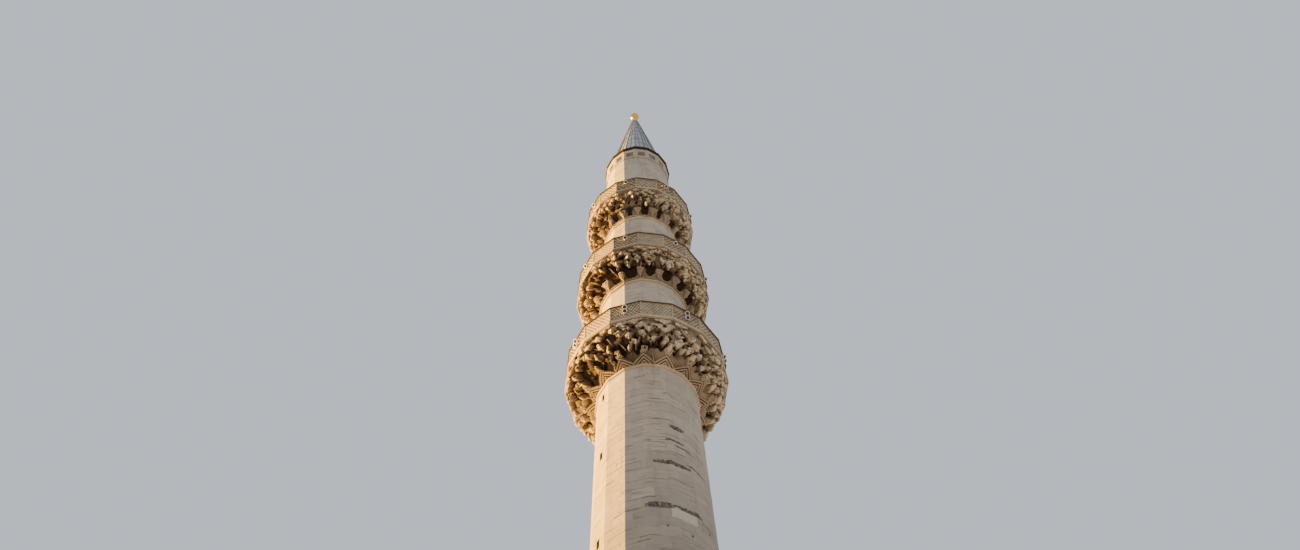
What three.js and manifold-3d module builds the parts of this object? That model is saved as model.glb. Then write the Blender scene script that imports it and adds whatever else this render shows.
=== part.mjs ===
import * as THREE from "three";
import { mergeVertices } from "three/addons/utils/BufferGeometryUtils.js";
import { ConvexGeometry } from "three/addons/geometries/ConvexGeometry.js";
import Module from "manifold-3d";

// A stone minaret with three corbelled balconies, a lead-clad spire and a gilt finial, as a 1:2 model.
// Sizes below are those of the full-size tower in metres, and mm() turns them into model millimetres.
// +Z is up, the origin is the centre of the footing's underside, and the doors face -Y.
const MODEL_SCALE = 1 / 2;
const mm = (metres) => metres * 1000 * MODEL_SCALE;
const JOINT_GAP = 0.3 / mm(1); // between pieces whose joint isn't square to the axes

// Every drum of the tower has sixteen sides, with a side square to each axis.
const SIDES = 16;
const SIDE_ANGLE = (2 * Math.PI) / SIDES;
const APOTHEM_SHARE = Math.cos(SIDE_ANGLE / 2);
const FRONT = -Math.PI / 2;
const LEFT = Math.PI;

// Square base: stepped footing, hollow pedestal with a pointed doorway, and its cornice.
const STEP_RISE = 0.2;
const FOOTING_HALF = [2.25, 2.08];
const FLOOR_LEVEL = STEP_RISE * FOOTING_HALF.length;
const PEDESTAL = { half: 1.9, wall: 0.7, top: 8.6 };
const ROOM_HALF = PEDESTAL.half - PEDESTAL.wall;
const CORNICE_BANDS = [[0, 0.16, 0.06], [0.16, 0.28, 0.11], [0.28, 0.4, 0.16]];
const CORNICE_RISE = 0.4;
const DOOR = { width: 0.9, spring: FLOOR_LEVEL + 1.7, archRise: 0.5, archSteps: 6 };

// Transition of triangular faces from the square to the sixteen sides, and the ring moulding above it.
const TRANSITION = { bottom: PEDESTAL.top + CORNICE_RISE, top: 12.2, radius: 1.6 };
const BASE_RING = { top: 12.6, radius: 1.68 };

// Lower shaft, with a column of loopholes facing -X that light the stair.
const SHAFT = { bottom: BASE_RING.top, top: 28.2, radius: [1.475, 1.27], bore: 0.95 };
const LOOPHOLE = { bayWidth: 0.46, width: 0.12, height: 0.3, levels: [15.9, 18.95, 22.05, 25.25, 27.8] };

// Balconies. level is the underside of the corbel, bore the clear radius below and above the floor,
// and drum the radius of the stage that stands on the floor and ends at drumTop.
const BALCONIES = [
  { level: 28.2, corbelRise: 1.04, neck: 1.31, rim: 2.12, bore: [0.95, 0.9], drum: 1.21, drumTop: 33.1 },
  { level: 33.1, corbelRise: 0.91, neck: 1.245, rim: 1.935, bore: [0.9, 0.82], drum: 1.11, drumTop: 37.8 },
  { level: 37.8, corbelRise: 1.06, neck: 1.145, rim: 1.74, bore: [0.82, 0.8], drum: 1.08, drumTop: 43.35 },
];
// Tiers of a corbel: shares of its rise and of its reach, and each tier's ring of niches.
const TIERS = [
  { rise: 0.34, reach: 0.24, niches: 16, depth: 0.15, shift: 0 },
  { rise: 0.2, reach: 0.24, niches: 32, depth: 0.09, shift: 0 },
  { rise: 0.17, reach: 0.2, niches: 32, depth: 0.08, shift: 0.5 },
  { rise: 0.16, reach: 0.18, niches: 32, depth: 0.07, shift: 0 },
  { rise: 0.13, reach: 0.14, niches: 32, depth: 0.05, shift: 0.5 },
];
const TIP_SHARE = 0.24; // width of the tip between two niches as a share of one
const NECK_RISE = 0.08;
const FLOOR_RISE = 0.1;
const FLOOR_COVE = 0.03; // how far the corbel stops short of the floor's rim
const PARAPET = { height: 0.79, thick: 0.13, foot: 0.08, coping: 0.06, reach: 0.03 };
const BALCONY_DOOR = { width: 0.6, height: 1.75 };

// Frieze of sunk panels under the eave, spire and finial.
const FRIEZE = { top: 44.1, radius: 1.09, fillet: 1.11, filletRise: 0.06 };
const FRIEZE_PANEL = { width: 0.25, low: 0.22, high: 0.62, depth: 0.04 };
const EAVE = { top: 44.3, lowRadius: 1.11, radius: 1.14, slope: 0.04 };
const SPIRE = { top: 50.2, radius: 1.01, tip: 0.14, shell: 0.09, cap: 0.4 };
const FINIAL_TOP = 51.9;
// Radius at each share of the finial's height: flared foot, a large ball between two small ones, and a spike.
const FINIAL_FOOT = [[0.14, 0], [0.06, 0.05]];
const FINIAL_BALLS = [[0.1, 0.17], [0.18, 0.48], [0.06, 0.69]];
const FINIAL_NECK = 0.035;
const BALL_STEPS = 5;

const wasm = await Module();
wasm.setup();

// Solids: each shape becomes one closed body, ready to be cut and joined.
function solid(geometry) {
  const bare = geometry.index ? geometry.toNonIndexed() : geometry.clone();
  bare.deleteAttribute("normal");
  bare.deleteAttribute("uv");
  const merged = mergeVertices(bare, 1e-3);
  return new wasm.Manifold(
    new wasm.Mesh({
      numProp: 3,
      vertProperties: merged.attributes.position.array,
      triVerts: new Uint32Array(merged.index.array),
    }),
  );
}

function geometryOf(made) {
  const mesh = made.getMesh();
  const geometry = new THREE.BufferGeometry();
  geometry.setAttribute("position", new THREE.BufferAttribute(new Float32Array(mesh.vertProperties), 3));
  geometry.setIndex(new THREE.BufferAttribute(new Uint32Array(mesh.triVerts), 1));
  return geometry;
}

const joined = (solids) => solids.reduce((sum, next) => sum.add(next));

// An axis-aligned block from its low corner to its high corner.
function block(low, high) {
  const size = high.map((value, i) => mm(value) - mm(low[i]));
  const middle = high.map((value, i) => (mm(value) + mm(low[i])) / 2);
  return solid(new THREE.BoxGeometry(...size).translate(...middle));
}

// A profile of [radius, height] points turned into a solid. A profile off the axis closes on itself.
function turned(profile, sides = SIDES) {
  const points = profile.map(([radius, height]) => new THREE.Vector2(mm(radius), mm(height)));
  const onAxis = profile[0][0] === 0 && profile[profile.length - 1][0] === 0;
  if (!onAxis) points.push(points[0].clone());
  return solid(new THREE.LatheGeometry(points, sides, Math.PI / sides).rotateX(Math.PI / 2));
}

// An upright sixteen-sided core to be cut out of a drum.
function core(radius, low, high) {
  return turned([[0, low], [radius, low], [radius, high], [0, high]]);
}

// An outline in plan, raised from one height to another.
function raised(outline, low, high) {
  const shape = new THREE.Shape(outline.map(([x, y]) => new THREE.Vector2(mm(x), mm(y))));
  const rise = { depth: mm(high) - mm(low), bevelEnabled: false };
  return solid(new THREE.ExtrudeGeometry(shape, rise).translate(0, 0, mm(low)));
}

// The part of a drum between two bearings (0 is +X, turning towards +Y), less half a joint at each end.
function sector(made, from, to, height) {
  const reach = 4;
  const middle = (from + to) / 2;
  const apex = JOINT_GAP / 2 / Math.sin((to - from) / 2);
  const start = [apex * Math.cos(middle), apex * Math.sin(middle)];
  const corner = (bearing) => [start[0] + reach * Math.cos(bearing), start[1] + reach * Math.sin(bearing)];
  return made.intersect(raised([start, corner(from), corner(middle), corner(to)], -1, height + 1));
}

// A plank-shaped strip that runs out from the axis on one bearing.
function radialStrip(bearing, halfWidth, low, high) {
  const reach = 4;
  const corners = [[0, -halfWidth], [reach, -halfWidth], [reach, halfWidth], [0, halfWidth]];
  const plan = corners.map(([along, across]) => [
    along * Math.cos(bearing) - across * Math.sin(bearing),
    along * Math.sin(bearing) + across * Math.cos(bearing),
  ]);
  return raised(plan, low, high);
}

const finish = (color, roughness, metalness = 0) =>
  new THREE.MeshStandardMaterial({ color, roughness, metalness });
const limestone = finish(0xc9b99c, 0.85);
const carvedStone = finish(0xc2a67c, 0.88);
const paleStone = finish(0xd3c6ad, 0.7);
const lead = finish(0x8c949b, 0.5, 0.6);
const gilding = finish(0xe0a63a, 0.28, 1);

function addPiece(parent, name, made, surface) {
  const mesh = new THREE.Mesh(geometryOf(made), surface.clone());
  mesh.name = name;
  parent.add(mesh);
}

function addGroup(parent, level) {
  const group = new THREE.Group();
  group.position.z = mm(level);
  parent.add(group);
  return group;
}

function addFooting(parent) {
  const steps = FOOTING_HALF.map((half, i) =>
    block([-half, -half, STEP_RISE * i], [half, half, STEP_RISE * (i + 1)]),
  );
  addPiece(parent, "footing", joined(steps), limestone);
}

// The two arcs of a pointed arch, from the right springing over the crown to the left one.
function pointedArch({ width, archRise, spring, archSteps }) {
  const half = width / 2;
  const offset = (archRise * archRise - half * half) / (2 * half);
  const radius = half + offset;
  const crown = Math.asin(archRise / radius);
  const right = Array.from({ length: archSteps + 1 }, (_, i) => {
    const angle = (crown * i) / archSteps;
    return [radius * Math.cos(angle) - offset, spring + radius * Math.sin(angle)];
  });
  const left = right.slice(0, -1).reverse().map(([x, z]) => [-x, z]);
  return [...right, ...left];
}

function addPedestal(parent) {
  const { half, top } = PEDESTAL;
  const low = FLOOR_LEVEL;
  const jamb = DOOR.width / 2;
  const wall = (name, from, to) => addPiece(parent, name, block([...from, low], [...to, top]), limestone);
  wall("pedestal_wall_back", [-half, ROOM_HALF], [half, half]);
  wall("pedestal_wall_left", [-half, -ROOM_HALF], [-ROOM_HALF, ROOM_HALF]);
  wall("pedestal_wall_right", [ROOM_HALF, -ROOM_HALF], [half, ROOM_HALF]);
  wall("pedestal_front_left", [-half, -half], [-jamb, -ROOM_HALF]);
  wall("pedestal_front_right", [jamb, -half], [half, -ROOM_HALF]);
  const below = DOOR.spring - 1;
  const outline = [[-jamb, below], [jamb, below], ...pointedArch(DOOR)];
  const shape = new THREE.Shape(outline.map(([x, z]) => new THREE.Vector2(mm(x), mm(z))));
  const depth = { depth: mm(2 * half), bevelEnabled: false };
  const archway = solid(new THREE.ExtrudeGeometry(shape, depth).rotateX(Math.PI / 2));
  const head = block([-jamb, -half, DOOR.spring], [jamb, -ROOM_HALF, top]);
  addPiece(parent, "pedestal_door_arch", head.subtract(archway), limestone);
}

function addPedestalCornice(parent) {
  const bands = CORNICE_BANDS.map(([low, high, reach]) => {
    const half = PEDESTAL.half + reach;
    return block([-half, -half, low], [half, half, high]);
  });
  const room = block([-ROOM_HALF, -ROOM_HALF, -1], [ROOM_HALF, ROOM_HALF, 1]);
  addPiece(addGroup(parent, PEDESTAL.top), "pedestal_cornice", joined(bands).subtract(room), limestone);
}

function addTransition(parent) {
  const rise = TRANSITION.top - TRANSITION.bottom;
  const corners = [[1, 1], [1, -1], [-1, 1], [-1, -1]].map(
    ([x, y]) => new THREE.Vector3(mm(PEDESTAL.half) * x, mm(PEDESTAL.half) * y, 0),
  );
  const ring = Array.from({ length: SIDES }, (_, i) => {
    const bearing = (i + 0.5) * SIDE_ANGLE;
    const radius = mm(TRANSITION.radius);
    return new THREE.Vector3(radius * Math.cos(bearing), radius * Math.sin(bearing), mm(rise));
  });
  const mass = solid(new ConvexGeometry([...corners, ...ring]));
  const hollow = mass.subtract(core(SHAFT.bore, -1, rise + 1));
  addPiece(addGroup(parent, TRANSITION.bottom), "transition", hollow, limestone);
}

function addBaseRing(parent) {
  const rise = BASE_RING.top - TRANSITION.top;
  const profile = [
    [SHAFT.bore, 0],
    [TRANSITION.radius, 0],
    [BASE_RING.radius, rise * 0.25],
    [BASE_RING.radius, rise * 0.6],
    [SHAFT.radius[0] + 0.04, rise],
    [SHAFT.bore, rise],
  ];
  addPiece(addGroup(parent, TRANSITION.top), "base_ring", turned(profile), limestone);
}

// A drum wall in three arcs, beside a bay that faces the given bearing. cutBay opens the bay.
function addDrum(group, name, wall, height, bay) {
  const strip = (halfWidth) => radialStrip(bay.bearing, halfWidth, -1, height + 1);
  const rest = wall.subtract(strip(bay.width / 2 + JOINT_GAP));
  const ends = [0, 5.5, 10.5, 16].map((sides) => bay.bearing + sides * SIDE_ANGLE);
  [1, 2, 3].forEach((arc) => {
    const piece = sector(rest, ends[arc - 1], ends[arc], height);
    addPiece(group, `${name}_wall_${arc}`, piece, limestone);
  });
  addPiece(group, bay.name, bay.cut(wall.intersect(strip(bay.width / 2))), limestone);
}

function addLowerShaft(parent) {
  const height = SHAFT.top - SHAFT.bottom;
  const [lowRadius, highRadius] = SHAFT.radius;
  const wall = turned([[SHAFT.bore, 0], [lowRadius, 0], [highRadius, height], [SHAFT.bore, height]]);
  const half = LOOPHOLE.width / 2;
  const cut = (piece) =>
    LOOPHOLE.levels.reduce((left, level) => {
      const low = level - SHAFT.bottom - LOOPHOLE.height / 2;
      return left.subtract(block([-2, -half, low], [0, half, low + LOOPHOLE.height]));
    }, piece);
  const bay = { bearing: LEFT, width: LOOPHOLE.bayWidth, name: "shaft_loophole_bay", cut };
  addDrum(addGroup(parent, SHAFT.bottom), "shaft", wall, height, bay);
}

// A tier of the corbel in plan: tips that follow the sixteen sides, and niches cut in between them.
// The large niches have flat backs, and the small ones run to a point.
function tierOutline(radius, { niches, depth, shift }) {
  const tip = 1 - TIP_SHARE / 2;
  const back = tip - TIP_SHARE / 2;
  const large = [[-tip, 0], [-back, depth], [back, depth], [tip, 0]];
  const small = [[-1, 0], [0, depth]];
  return Array.from({ length: niches }, (_, niche) =>
    (niches === SIDES ? large : small).map(([across, sink]) => {
      const bearing = ((niche + shift + across / 2) * 2 * Math.PI) / niches;
      const offMiddle = bearing - Math.round(bearing / SIDE_ANGLE) * SIDE_ANGLE;
      const r = (radius * APOTHEM_SHARE) / Math.cos(offMiddle) - sink;
      return [r * Math.cos(bearing), r * Math.sin(bearing)];
    }),
  ).flat();
}

function addCorbel(group, number, { corbelRise, neck, rim, bore }) {
  const reach = rim - FLOOR_COVE - neck;
  const rise = corbelRise - NECK_RISE;
  const courses = [core(neck, 0, NECK_RISE)];
  let low = NECK_RISE;
  let radius = neck;
  for (const tier of TIERS) {
    radius += reach * tier.reach;
    courses.push(raised(tierOutline(radius, tier), low, low + rise * tier.rise));
    low += rise * tier.rise;
  }
  const made = joined(courses).subtract(core(bore[0], -1, corbelRise + 1));
  addPiece(group, `balcony_${number}_corbel`, made, carvedStone);
}

function addFloor(group, number, { corbelRise, rim, bore }) {
  const profile = [
    [bore[1], 0],
    [rim - FLOOR_COVE, 0],
    [rim - FLOOR_COVE * 0.7, FLOOR_RISE * 0.3],
    [rim, FLOOR_RISE * 0.7],
    [rim, FLOOR_RISE],
    [bore[1], FLOOR_RISE],
  ];
  addPiece(addGroup(group, corbelRise), `balcony_${number}_floor`, turned(profile), paleStone);
}

function addParapet(group, number, { corbelRise, rim }) {
  const { height, thick, foot, coping, reach } = PARAPET;
  const face = rim - reach;
  const profile = [
    [face - thick, 0],
    [rim, 0],
    [rim, foot],
    [face, foot],
    [face, height - coping],
    [rim, height - coping],
    [rim, height],
    [face - thick, height],
  ];
  const ring = turned(profile);
  const place = addGroup(group, corbelRise + FLOOR_RISE);
  const start = FRONT - 3.5 * SIDE_ANGLE;
  ["front", "back"].forEach((side, i) => {
    const from = start + i * Math.PI;
    addPiece(place, `balcony_${number}_parapet_${side}`, sector(ring, from, from + Math.PI, height), paleStone);
  });
}

function addStage(group, number, { level, corbelRise, bore, drum, drumTop }) {
  const floor = corbelRise + FLOOR_RISE;
  const height = drumTop - level - floor;
  const wall = turned([[bore[1], 0], [drum, 0], [drum, height], [bore[1], height]]);
  const { width, height: doorHeight } = BALCONY_DOOR;
  const cut = (piece) => piece.subtract(radialStrip(FRONT, width, -1, doorHeight));
  const bay = { bearing: FRONT, width, name: `balcony_${number}_door_head`, cut };
  addDrum(addGroup(group, floor), `stage_${number + 1}`, wall, height, bay);
}

function addBalcony(parent, spec, number) {
  const group = addGroup(parent, spec.level);
  addCorbel(group, number, spec);
  addFloor(group, number, spec);
  addParapet(group, number, spec);
  addStage(group, number, spec);
}

function addFrieze(parent, bottom, bore) {
  const { top, radius, fillet, filletRise } = FRIEZE;
  const rise = top - bottom;
  const band = turned([
    [bore, 0],
    [fillet, 0],
    [fillet, filletRise],
    [radius, filletRise],
    [radius, rise],
    [bore, rise],
  ]);
  const { width, low, high, depth } = FRIEZE_PANEL;
  const face = radius * APOTHEM_SHARE - depth;
  const sunk = block([face, -width / 2, low], [face + 1, width / 2, high]);
  const cut = Array.from({ length: SIDES }, (_, i) => sunk.rotate([0, 0, (360 / SIDES) * i]));
  addPiece(addGroup(parent, bottom), "frieze", band.subtract(joined(cut)), paleStone);
}

function addRoof(parent, bottom, bore) {
  const rise = EAVE.top - bottom;
  const { radius, tip, shell, cap } = SPIRE;
  const eave = turned([
    [bore, 0],
    [EAVE.lowRadius, 0],
    [EAVE.radius, rise - EAVE.slope],
    [radius, rise],
    [bore, rise],
  ]);
  addPiece(addGroup(parent, bottom), "eave", eave, lead);
  const height = SPIRE.top - EAVE.top;
  const ceiling = height - cap;
  const innerTip = radius + ((tip - radius) * ceiling) / height - shell;
  const profile = [[0, ceiling], [innerTip, ceiling], [radius - shell, 0], [radius, 0], [tip, height], [0, height]];
  addPiece(addGroup(parent, EAVE.top), "spire", turned(profile), lead);
}

function addFinial(parent) {
  const height = FINIAL_TOP - SPIRE.top;
  const balls = FINIAL_BALLS.flatMap(([radius, share]) => {
    const start = Math.asin(FINIAL_NECK / radius);
    return Array.from({ length: BALL_STEPS + 1 }, (_, i) => {
      const angle = start + ((Math.PI - 2 * start) * i) / BALL_STEPS;
      return [radius * Math.sin(angle), share * height - radius * Math.cos(angle)];
    });
  });
  const foot = FINIAL_FOOT.map(([radius, share]) => [radius, share * height]);
  const profile = [[0, 0], ...foot, ...balls, [0, height]];
  addPiece(addGroup(parent, SPIRE.top), "finial", turned(profile), gilding);
}

const minaret = new THREE.Group();
minaret.name = "minaret";
addFooting(minaret);
addPedestal(minaret);
addPedestalCornice(minaret);
addTransition(minaret);
addBaseRing(minaret);
addLowerShaft(minaret);
BALCONIES.forEach((spec, i) => addBalcony(minaret, spec, i + 1));
const topStage = BALCONIES[BALCONIES.length - 1];
addFrieze(minaret, topStage.drumTop, topStage.bore[1]);
addRoof(minaret, FRIEZE.top, topStage.bore[1]);
addFinial(minaret);

export default minaret;
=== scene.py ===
import math
import random
from collections import namedtuple

import bpy
import numpy as np
from mathutils import Matrix, Vector, noise as solid_noise


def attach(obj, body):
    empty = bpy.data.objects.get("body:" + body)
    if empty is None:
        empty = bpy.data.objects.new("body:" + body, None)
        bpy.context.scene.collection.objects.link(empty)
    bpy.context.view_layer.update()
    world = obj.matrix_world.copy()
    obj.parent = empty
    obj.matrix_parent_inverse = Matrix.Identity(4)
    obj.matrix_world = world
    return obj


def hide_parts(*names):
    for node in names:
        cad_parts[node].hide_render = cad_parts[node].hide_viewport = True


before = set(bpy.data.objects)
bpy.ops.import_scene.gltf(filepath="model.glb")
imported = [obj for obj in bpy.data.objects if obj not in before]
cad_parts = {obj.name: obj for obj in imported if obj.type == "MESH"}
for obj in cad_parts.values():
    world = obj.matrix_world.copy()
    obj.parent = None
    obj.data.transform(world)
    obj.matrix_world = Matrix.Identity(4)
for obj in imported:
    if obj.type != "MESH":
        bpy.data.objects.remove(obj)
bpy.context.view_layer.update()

# Sizes are the full tower's, in metres, and K makes them the half-size model's.
K = 0.5
SHARP_ANGLE = math.radians(38)  # smooth pieces keep the edges that are sharper
SIDES = 16
SIDE = 2 * math.pi / SIDES
HALF_SIDE, APOTHEM = math.sin(SIDE / 2), math.cos(SIDE / 2)  # as shares of the corner radius
FRONT = -4  # bearings are counted in sides: 0 faces +X, 4 faces +Y, 8 faces -X and -4 faces -Y
LEFT = 8

FOOTING = [(2.25, 0.0, 0.2), (2.08, 0.2, 0.4)]  # half width, low and high of each step
FLOOR = 0.4
ROOM_HALF = 1.2
PEDESTAL_HALF, PEDESTAL_TOP = 1.9, 8.6
PORTAL_HALF, PORTAL_TOP = 0.98, 3.27  # the rectangular frame round the entrance
DOOR_HALF, DOOR_SPRING, DOOR_RISE = 0.45, 2.1, 0.5
CORNICE_TOP = 9.0
TRANSITION_TOP, TRANSITION_RADIUS = 12.2, 1.6
BASE_RING_TOP, BASE_RING_RADIUS = 12.6, 1.68
SHAFT_TOP, SHAFT_RADII, BORE = 28.2, (1.475, 1.27), 0.95
LOOPHOLE_WIDTH, LOOPHOLE_HEIGHT, LOOPHOLES = 0.12, 0.3, (15.9, 18.95, 22.05, 25.25, 27.8)
Balcony = namedtuple("Balcony", "level rise neck rim bore drum top")
BALCONIES = [
    Balcony(28.2, 1.04, 1.31, 2.12, (0.95, 0.9), 1.21, 33.1),
    Balcony(33.1, 0.91, 1.245, 1.935, (0.9, 0.82), 1.11, 37.8),
    Balcony(37.8, 1.06, 1.145, 1.74, (0.82, 0.8), 1.08, 43.35),
]
NECK_RISE = 0.08
FLOOR_RISE, FLOOR_COVE = 0.1, 0.03
PARAPET_RISE, PARAPET_SETBACK, PARAPET_THICK = 0.79, 0.03, 0.13
BALCONY_DOOR_HALF, BALCONY_DOOR_HEIGHT = 0.3, 1.75
FRIEZE_LOW, FRIEZE_TOP, FRIEZE_RADIUS = 43.35, 44.1, 1.09
EAVE_TOP, EAVE_RADIUS = 44.3, 1.14
SPIRE_TOP, SPIRE_RADII = 50.2, (1.01, 0.14)
FINIAL_TOP = 51.9


# Mesh building: faces are gathered with a tone for each face and, for each point, how dark its grime and
# painted shade make it
class Shape:
    def __init__(self):
        self.points = []
        self.grime_and_shade = []
        self.faces = []
        self.tones = []

    def add(self, points, grime_and_shade=0.0):
        start = len(self.points)
        self.points.extend(points)
        self.grime_and_shade.extend(grime_and_shade if isinstance(grime_and_shade, list) else [grime_and_shade] * len(points))
        return start

    def face(self, indices, tone):
        self.faces.append(indices)
        self.tones.append(tone)

    def grid(self, rows, tone=0.5, grime_and_shade=None, closed=False):
        """Rows of points, listed from low to high, each anticlockwise from above. Returns their starts."""
        width = len(rows[0])
        starts = [self.add(row, grime_and_shade[j] if grime_and_shade else 0.0) for j, row in enumerate(rows)]
        for j, (low, high) in enumerate(zip(starts, starts[1:])):
            for i in range(width if closed else width - 1):
                k = (i + 1) % width
                self.face((low + i, low + k, high + k, high + i), tone(i, j) if callable(tone) else tone)
        return starts

    def boss(self, rings, columns, tone=0.5, grime_and_shade=None):
        """A raised block: rings from its foot to its face, each with that many columns below and above."""
        first = self.grid(rings, tone, grime_and_shade, closed=True)[-1]
        last = first + len(rings[0]) - 1
        for i in range(columns - 1):
            self.face((first + i, first + i + 1, last - 1 - i, last - i), tone)


def linked(name, data):
    obj = bpy.data.objects.new(name, data)
    bpy.context.scene.collection.objects.link(obj)
    return obj


def piece(name, shape, material, replaced=(), smooth=False):
    mesh = bpy.data.meshes.new(name)
    mesh.from_pydata([Vector(p) * K for p in shape.points], [], shape.faces)
    mesh.attributes.new("grime_and_shade", "FLOAT", "POINT").data.foreach_set("value", shape.grime_and_shade)
    mesh.attributes.new("tone", "FLOAT", "FACE").data.foreach_set("value", shape.tones)
    mesh.polygons.foreach_set("use_smooth", [smooth] * len(mesh.polygons))
    mesh.materials.append(material)
    obj = linked(name, mesh)
    if smooth:
        mesh.set_sharp_from_angle(angle=SHARP_ANGLE)
    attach(obj, "root")
    if replaced:
        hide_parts(*replaced)


def on_side(s, radius, z):
    """A point on the sixteen-sided drum of that corner radius, s sides round from +X."""
    k = math.floor(s + 0.5)
    share = s + 0.5 - k
    a, b = (k - 0.5) * SIDE, (k + 0.5) * SIDE
    x = math.cos(a) + (math.cos(b) - math.cos(a)) * share
    y = math.sin(a) + (math.sin(b) - math.sin(a)) * share
    return (radius * x, radius * y, z)


def side_at(side, radius):
    """The point function of one flat side of a drum: u along it, z up and depth behind it."""
    bearing, face = side * SIDE, radius * APOTHEM
    x, y = math.cos(bearing), math.sin(bearing)
    return lambda u, z, depth: (x * (face - depth) - y * u, y * (face - depth) + x * u, z)


def wall_at(turn, reach):
    """The point function of a square's side: u along it and z up. It faces turn quarters round from -Y."""
    angle = turn * math.pi / 2
    cos, sin = math.cos(angle), math.sin(angle)
    return lambda u, z: (u * cos + reach * sin, u * sin - reach * cos, z)


def circle(count, start=0.0):
    return [2 * math.pi * (i + start) / count for i in range(count)]


def moulding(radius, z, steps, rise=1.0):
    """A profile of (radius, height) from steps of (outwards, upwards) off one place."""
    return [(radius + out, z + up * rise) for out, up in steps]


def turned(shape, profile, sides=SIDES):
    """A profile of (radius, height), listed outwards from its low inner end, swept round the axis."""
    angles = circle(sides, 0.5)
    shape.grid([[(r * math.cos(a), r * math.sin(a), z) for a in angles] for r, z in profile], closed=True)


CORNER_JOINT = 0.004  # half a joint between two turned stones, in sides


def faceted(shape, profile, rng, grime_and_shade=None):
    """As turned, but cut into stones by thin joints at each corner of the drum."""
    dirt_and_shade = [[g] * 2 for g in grime_and_shade + grime_and_shade[:1]] if grime_and_shade else None
    for side in range(SIDES):
        ends = (side - 0.5 + CORNER_JOINT, side + 0.5 - CORNER_JOINT)
        rows = [[on_side(s, r, z) for s in ends] for r, z in profile + profile[:1]]
        shape.grid(rows, rng.random(), dirt_and_shade)
        for end in (0, 1):
            cap = shape.add([row[end] for row in rows[:-1]], 0.5)
            order = range(len(profile)) if end else reversed(range(len(profile)))
            shape.face(tuple(cap + i for i in order), 0.4)


# Materials
def tint(color, share=1.0):
    return (*(c * share for c in color), 1.0)


class Nodes:
    """A new material's node tree, with short calls for what the materials share."""

    def __init__(self, name):
        self.material = bpy.data.materials.new(name)
        self.material.use_nodes = True
        self.tree = self.material.node_tree
        self.tree.nodes.clear()
        self.place = self.add("ShaderNodeTexCoord").outputs["Object"]
        self.tone = self.attribute("tone")

    def add(self, kind, inputs=None, **settings):
        made = self.tree.nodes.new(kind)
        for key, value in settings.items():
            setattr(made, key, value)
        for key, value in (inputs or {}).items():
            if isinstance(value, bpy.types.NodeSocket):
                self.tree.links.new(value, made.inputs[key])
            else:
                made.inputs[key].default_value = value
        return made

    def attribute(self, name):
        return self.add("ShaderNodeAttribute", attribute_name=name).outputs["Fac"]

    def noise(self, scale, detail, rough=0.55, stretch=None, place=None):
        place = place or self.place
        if stretch:
            place = self.add("ShaderNodeMapping", {"Vector": place, "Scale": stretch}).outputs[0]
        inputs = {"Vector": place, "Scale": scale, "Detail": detail, "Roughness": rough}
        return self.add("ShaderNodeTexNoise", inputs).outputs[0]

    def spread(self, value, low, high, to_low=0.0, to_high=1.0):
        inputs = {"Value": value, "From Min": low, "From Max": high, "To Min": to_low, "To Max": to_high}
        return self.add("ShaderNodeMapRange", inputs, interpolation_type="SMOOTHSTEP").outputs[0]

    def math(self, operation, a, b):
        return self.add("ShaderNodeMath", {0: a, 1: b}, operation=operation).outputs[0]

    def weighed(self, a, a_share, b, b_share):
        return self.math("ADD", self.math("MULTIPLY", a, a_share), self.math("MULTIPLY", b, b_share))

    def mixed(self, share, a, b):
        return self.add("ShaderNodeMix", {0: share, 6: a, 7: b}, data_type="RGBA").outputs[2]

    def finish(self, color, rough, height, bump, distance, fixed):
        """The shader. fixed holds the values that are the same all over the surface."""
        bumped = self.add("ShaderNodeBump", {"Height": height, "Strength": bump, "Distance": distance})
        inputs = {"Base Color": color, "Roughness": rough, "Normal": bumped.outputs[0], **fixed}
        shader = self.add("ShaderNodeBsdfPrincipled", inputs)
        self.add("ShaderNodeOutputMaterial", {"Surface": shader.outputs[0]})
        return self.material


LOW_SHADE_FADE = (9.0, 14.0)  # heights on the model between which the painted shade of the shaft's lower part, darker and greyer towards the bottom, fades away
LOW_SHADE_COLOR = (0.225, 0.212, 0.198)


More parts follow.
